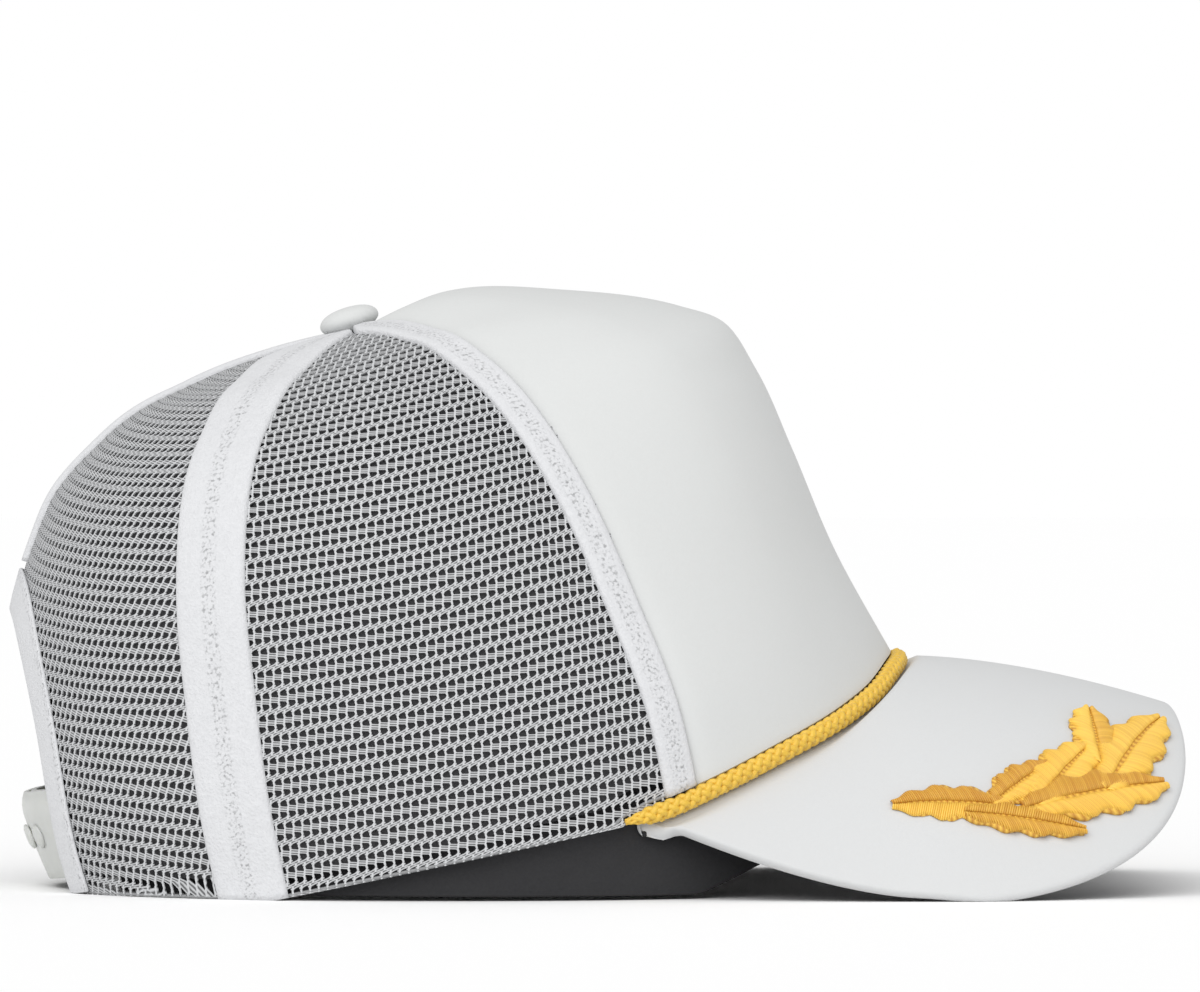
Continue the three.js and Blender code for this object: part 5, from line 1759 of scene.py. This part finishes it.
# %% Pads and sprays
PAD_STEPS, PAD_LANES = 41, 9
PAD_DOT = 0.9  # tone of the stitches that cross the midrib
PAD_SHARE = 0.97  # of the leaf's width
PAD_DOME, PAD_DOME_POWER = 0.7, 3  # height of the dome, as a share of the threads' arch
PAD_GROOVE, PAD_GROOVE_WIDE = 0.8, 0.12  # the dip along the midrib
PAD_FOOT = 0.12  # its underside's height over the visor


def leaf_pad(side):
    """The soft pad below the threads of each leaf, a low dome over its outline."""
    parts = []
    for order, (foot, tip, width, _) in enumerate(LEAVES.values()):
        foot, tip = np.array(foot, float), np.array(tip, float)
        along = tip - foot
        across = np.array([-along[1], along[0]]) / np.linalg.norm(along)
        share = np.linspace(*LEAF_ENDS, PAD_STEPS)[:, None]
        half = leaf_half_width(share, width) * PAD_SHARE
        lean = np.linspace(-1, 1, PAD_LANES)[None, :]
        place = foot + along * share[..., None] + across * (half * lean)[..., None]
        reach, spread = place[..., 0], side * place[..., 1]
        dome = PAD_DOME - PAD_DOME * np.abs(lean) ** PAD_DOME_POWER
        groove = 1 - PAD_GROOVE * np.exp(-((lean / PAD_GROOVE_WIDE) ** 2))
        rise = np.broadcast_to(LEAF_LIFT + LEAF_STEP * order + THREAD_ARCH * dome * groove, reach.shape)
        normal, surface = visor_normal(reach, spread), on_visor(reach, spread)
        outer, inner = surface + normal * rise[..., None], surface + normal * PAD_FOOT
        pad = wall("pad", outer, inner, place * MM)
        # the pad is dark gold, painted shade between the threads, with light stitches over the midrib on
        # every other step
        dotted = np.repeat(PAD_DOT * (np.arange(PAD_STEPS) % 2), PAD_LANES)
        keep_numbers(pad.data, {"tone": np.tile(dotted, 2)})
        parts.append(pad)
    return joined("pads", parts)


def leaf_spray(side_name):
    side = SIDES[side_name]
    points, edges, reaches, painted_side_light = leaf_lines(side)
    name = f"leaf_spray_{side_name}_satin"
    threads = new_object(name, points, [], None, {"out": np.array(reaches) * MM, "tone": painted_side_light}, edges)
    values = {
        "Guide": guide,
        "Thread": satin_thread,
        "Thread pitch": SATIN_PITCH * MM,
        "Slant": SATIN_SLANT,
        "Material": GOLD_SILK,
    }
    run_tree(threads, SATIN_TREE, values)
    spray = joined(name, [threads, leaf_pad(side)])
    spray.data.shade_smooth()
    return dressed(spray, GOLD_SILK, "leaf", f"leaf_spray_{side_name}")


for side_name in SIDES:
    leaf_spray(side_name)
for made in (guide, satin_thread, cell):
    bpy.data.objects.remove(made)

# %% [markdown]
# ## Sweatband and button
# The sweatband is the dark band that would touch the head. Below the rim it hangs straight down, nearly to
# the floor where the rim is lifted: this hanging part is a dark sheet that stands in for the shade in the gap
# below the rim. The button is a small shell covered in the foam's cloth, turned as a dome, with the cloth
# gathered into a short neck below it.

# %% Sweatband
SWEATBAND_OUTER, SWEATBAND_WALL = -3.6, 1.2
SWEATBAND_RISE, SWEATBAND_SHADE_HANG, SWEATBAND_FOOT = 16.0, 22.0, 1.0
SWEATBAND_END = BACK_SEAM - ARCH_HALF - 9  # it stops this many degrees short of the back opening
SWEATBAND_COLUMNS, SWEATBAND_ROWS = 161, 7
HEAD_RADIUS = 90  # for the length of its UV map


def sweatband():
    """The band rises inside the crown and hangs straight down from the rim where the rim is off the floor, as
    a dark sheet that stands in for shade.
    """
    azimuth = SWEATBAND_END * np.linspace(-1, 1, SWEATBAND_COLUMNS)[:, None]
    below_rope = np.maximum(rope_climb(azimuth.ravel())[:, None] - ROPE_RADIUS, 0)
    roped = np.where(np.abs(azimuth) < ROPE_END, below_rope, 0)
    low = np.maximum(roped / TRAVEL_MM, rim_travel(azimuth)) + SWEATBAND_FOOT / TRAVEL_MM
    half_rise = SWEATBAND_RISE / 2 / TRAVEL_MM
    middle = low + half_rise
    climb = np.linspace(0, 1, SWEATBAND_ROWS)[None, :]
    risen = middle + half_rise * climb
    around = np.broadcast_to(azimuth, risen.shape)

    def face(depth):
        foot = crown(azimuth, low, depth)
        # below the rim the band hangs as a dark sheet that stands in for the shade in the gap
        foot[..., 2] = np.maximum(foot[..., 2] - SWEATBAND_SHADE_HANG, SWEATBAND_FOOT)
        hanging_shade_sheet = foot + (crown(azimuth, middle, depth) - foot) * climb[:, :-1, None]
        return np.concatenate([hanging_shade_sheet, crown(around, risen, depth)], axis=1)

    outer = face(SWEATBAND_OUTER)
    inner = face(SWEATBAND_OUTER - SWEATBAND_WALL)
    flat = flat_map(azimuth * math.radians(HEAD_RADIUS), added_up(spacing(outer, 1), 1))
    made = rounded(wall("sweatband_cloth", outer, inner, flat), 0.5)
    dressed(made, CHARCOAL, "lining", "sweatband")
    return cut_from(made, cut_size(outer), "stretched", "front_panel_foam")


sweatband()

# %% Button
BUTTON_BASE = 124.8
BUTTON_LEAN = math.radians(5)
BUTTON_SIDES = 48
# radius and height from the button's underside
BUTTON_PROFILE = [
    (0.2, -1.8),
    (5.2, -1.8),
    (5.6, -0.6),
    (6.7, 0.0),
    (7.15, 0.8),
    (7.1, 1.8),
    (6.3, 3.0),
    (4.6, 3.85),
    (2.4, 4.3),
    (0.2, 4.4),
]


def button():
    turns = round_turns(BUTTON_SIDES)
    rings = []
    for radius, rise in BUTTON_PROFILE:
        x, y, z = radius * np.cos(turns), radius * np.sin(turns), np.full_like(turns, rise)
        leaned_x = x * math.cos(BUTTON_LEAN) - z * math.sin(BUTTON_LEAN)
        leaned_z = x * math.sin(BUTTON_LEAN) + z * math.cos(BUTTON_LEAN)
        rings.append(to_part(leaned_x - BUTTON_BACK, y, leaned_z + BUTTON_BASE))
    made = ring_body("button_shell", np.array(rings))
    smoother = made.modifiers.new("smoother", "SUBSURF")
    smoother.levels = smoother.render_levels = 1
    settled(made)
    made.data.shade_smooth()
    return made


dressed(button(), FOAM, "foam", "button")

# %% [markdown]
# ## Floor and light
# The cap stands on a pale floor that runs on to the horizon. A white sky and one very soft light from above
# the camera give the even light of a product photograph.

# %% Floor
FLOOR_HALF = 20.0 / MM


def pale_floor():
    corners = [(a * FLOOR_HALF, b * FLOOR_HALF, 0) for a, b in ((-1, -1), (1, -1), (1, 1), (-1, 1))]
    made = new_object("floor", corners, [(0, 1, 2, 3)])
    material, _, shader = new_material("pale floor")
    plain = {"Base Color": (0.98, 0.98, 0.98, 1), "Roughness": 1.0, "Specular IOR Level": 0.0}
    set_values(shader, plain)
    made.data.materials.append(material)
    return made


pale_floor()

# %% Sky and light

SKY_SEEN, SKY_LIGHT = 1.0, 0.55
TOP_LIGHT_WAY, TOP_LIGHT_SPREAD, TOP_LIGHT_STRENGTH = (0.2, 0.8, -0.8), 70, 2.1


def white_sky():
    """A sky that looks white and gives a softer light than it looks."""
    world = bpy.data.worlds.new("white sky")
    world.use_nodes = True
    tree = world.node_tree
    seen = add_node(tree, "ShaderNodeLightPath").outputs["Is Camera Ray"]
    strength = maths(tree, "MULTIPLY_ADD", seen, SKY_SEEN - SKY_LIGHT, SKY_LIGHT)
    back = tree.nodes["Background"]
    back.inputs[0].default_value = (1, 1, 1, 1)
    tree.links.new(strength, back.inputs[1])
    bpy.context.scene.world = world


def top_light():
    """A very soft light from far above: an even light over cap and floor, with a shadow below the cap."""
    data = bpy.data.lights.new("top light", "SUN")
    data.angle = math.radians(TOP_LIGHT_SPREAD)
    data.energy = TOP_LIGHT_STRENGTH
    lamp = linked("top light", data)
    lamp.rotation_mode = "QUATERNION"
    lamp.rotation_quaternion = Vector(TOP_LIGHT_WAY).to_track_quat("-Z", "Y")


white_sky()
bpy.context.scene.view_settings.view_transform = "Standard"
top_light()
print("lights:", len(bpy.data.lights), "and the sky")
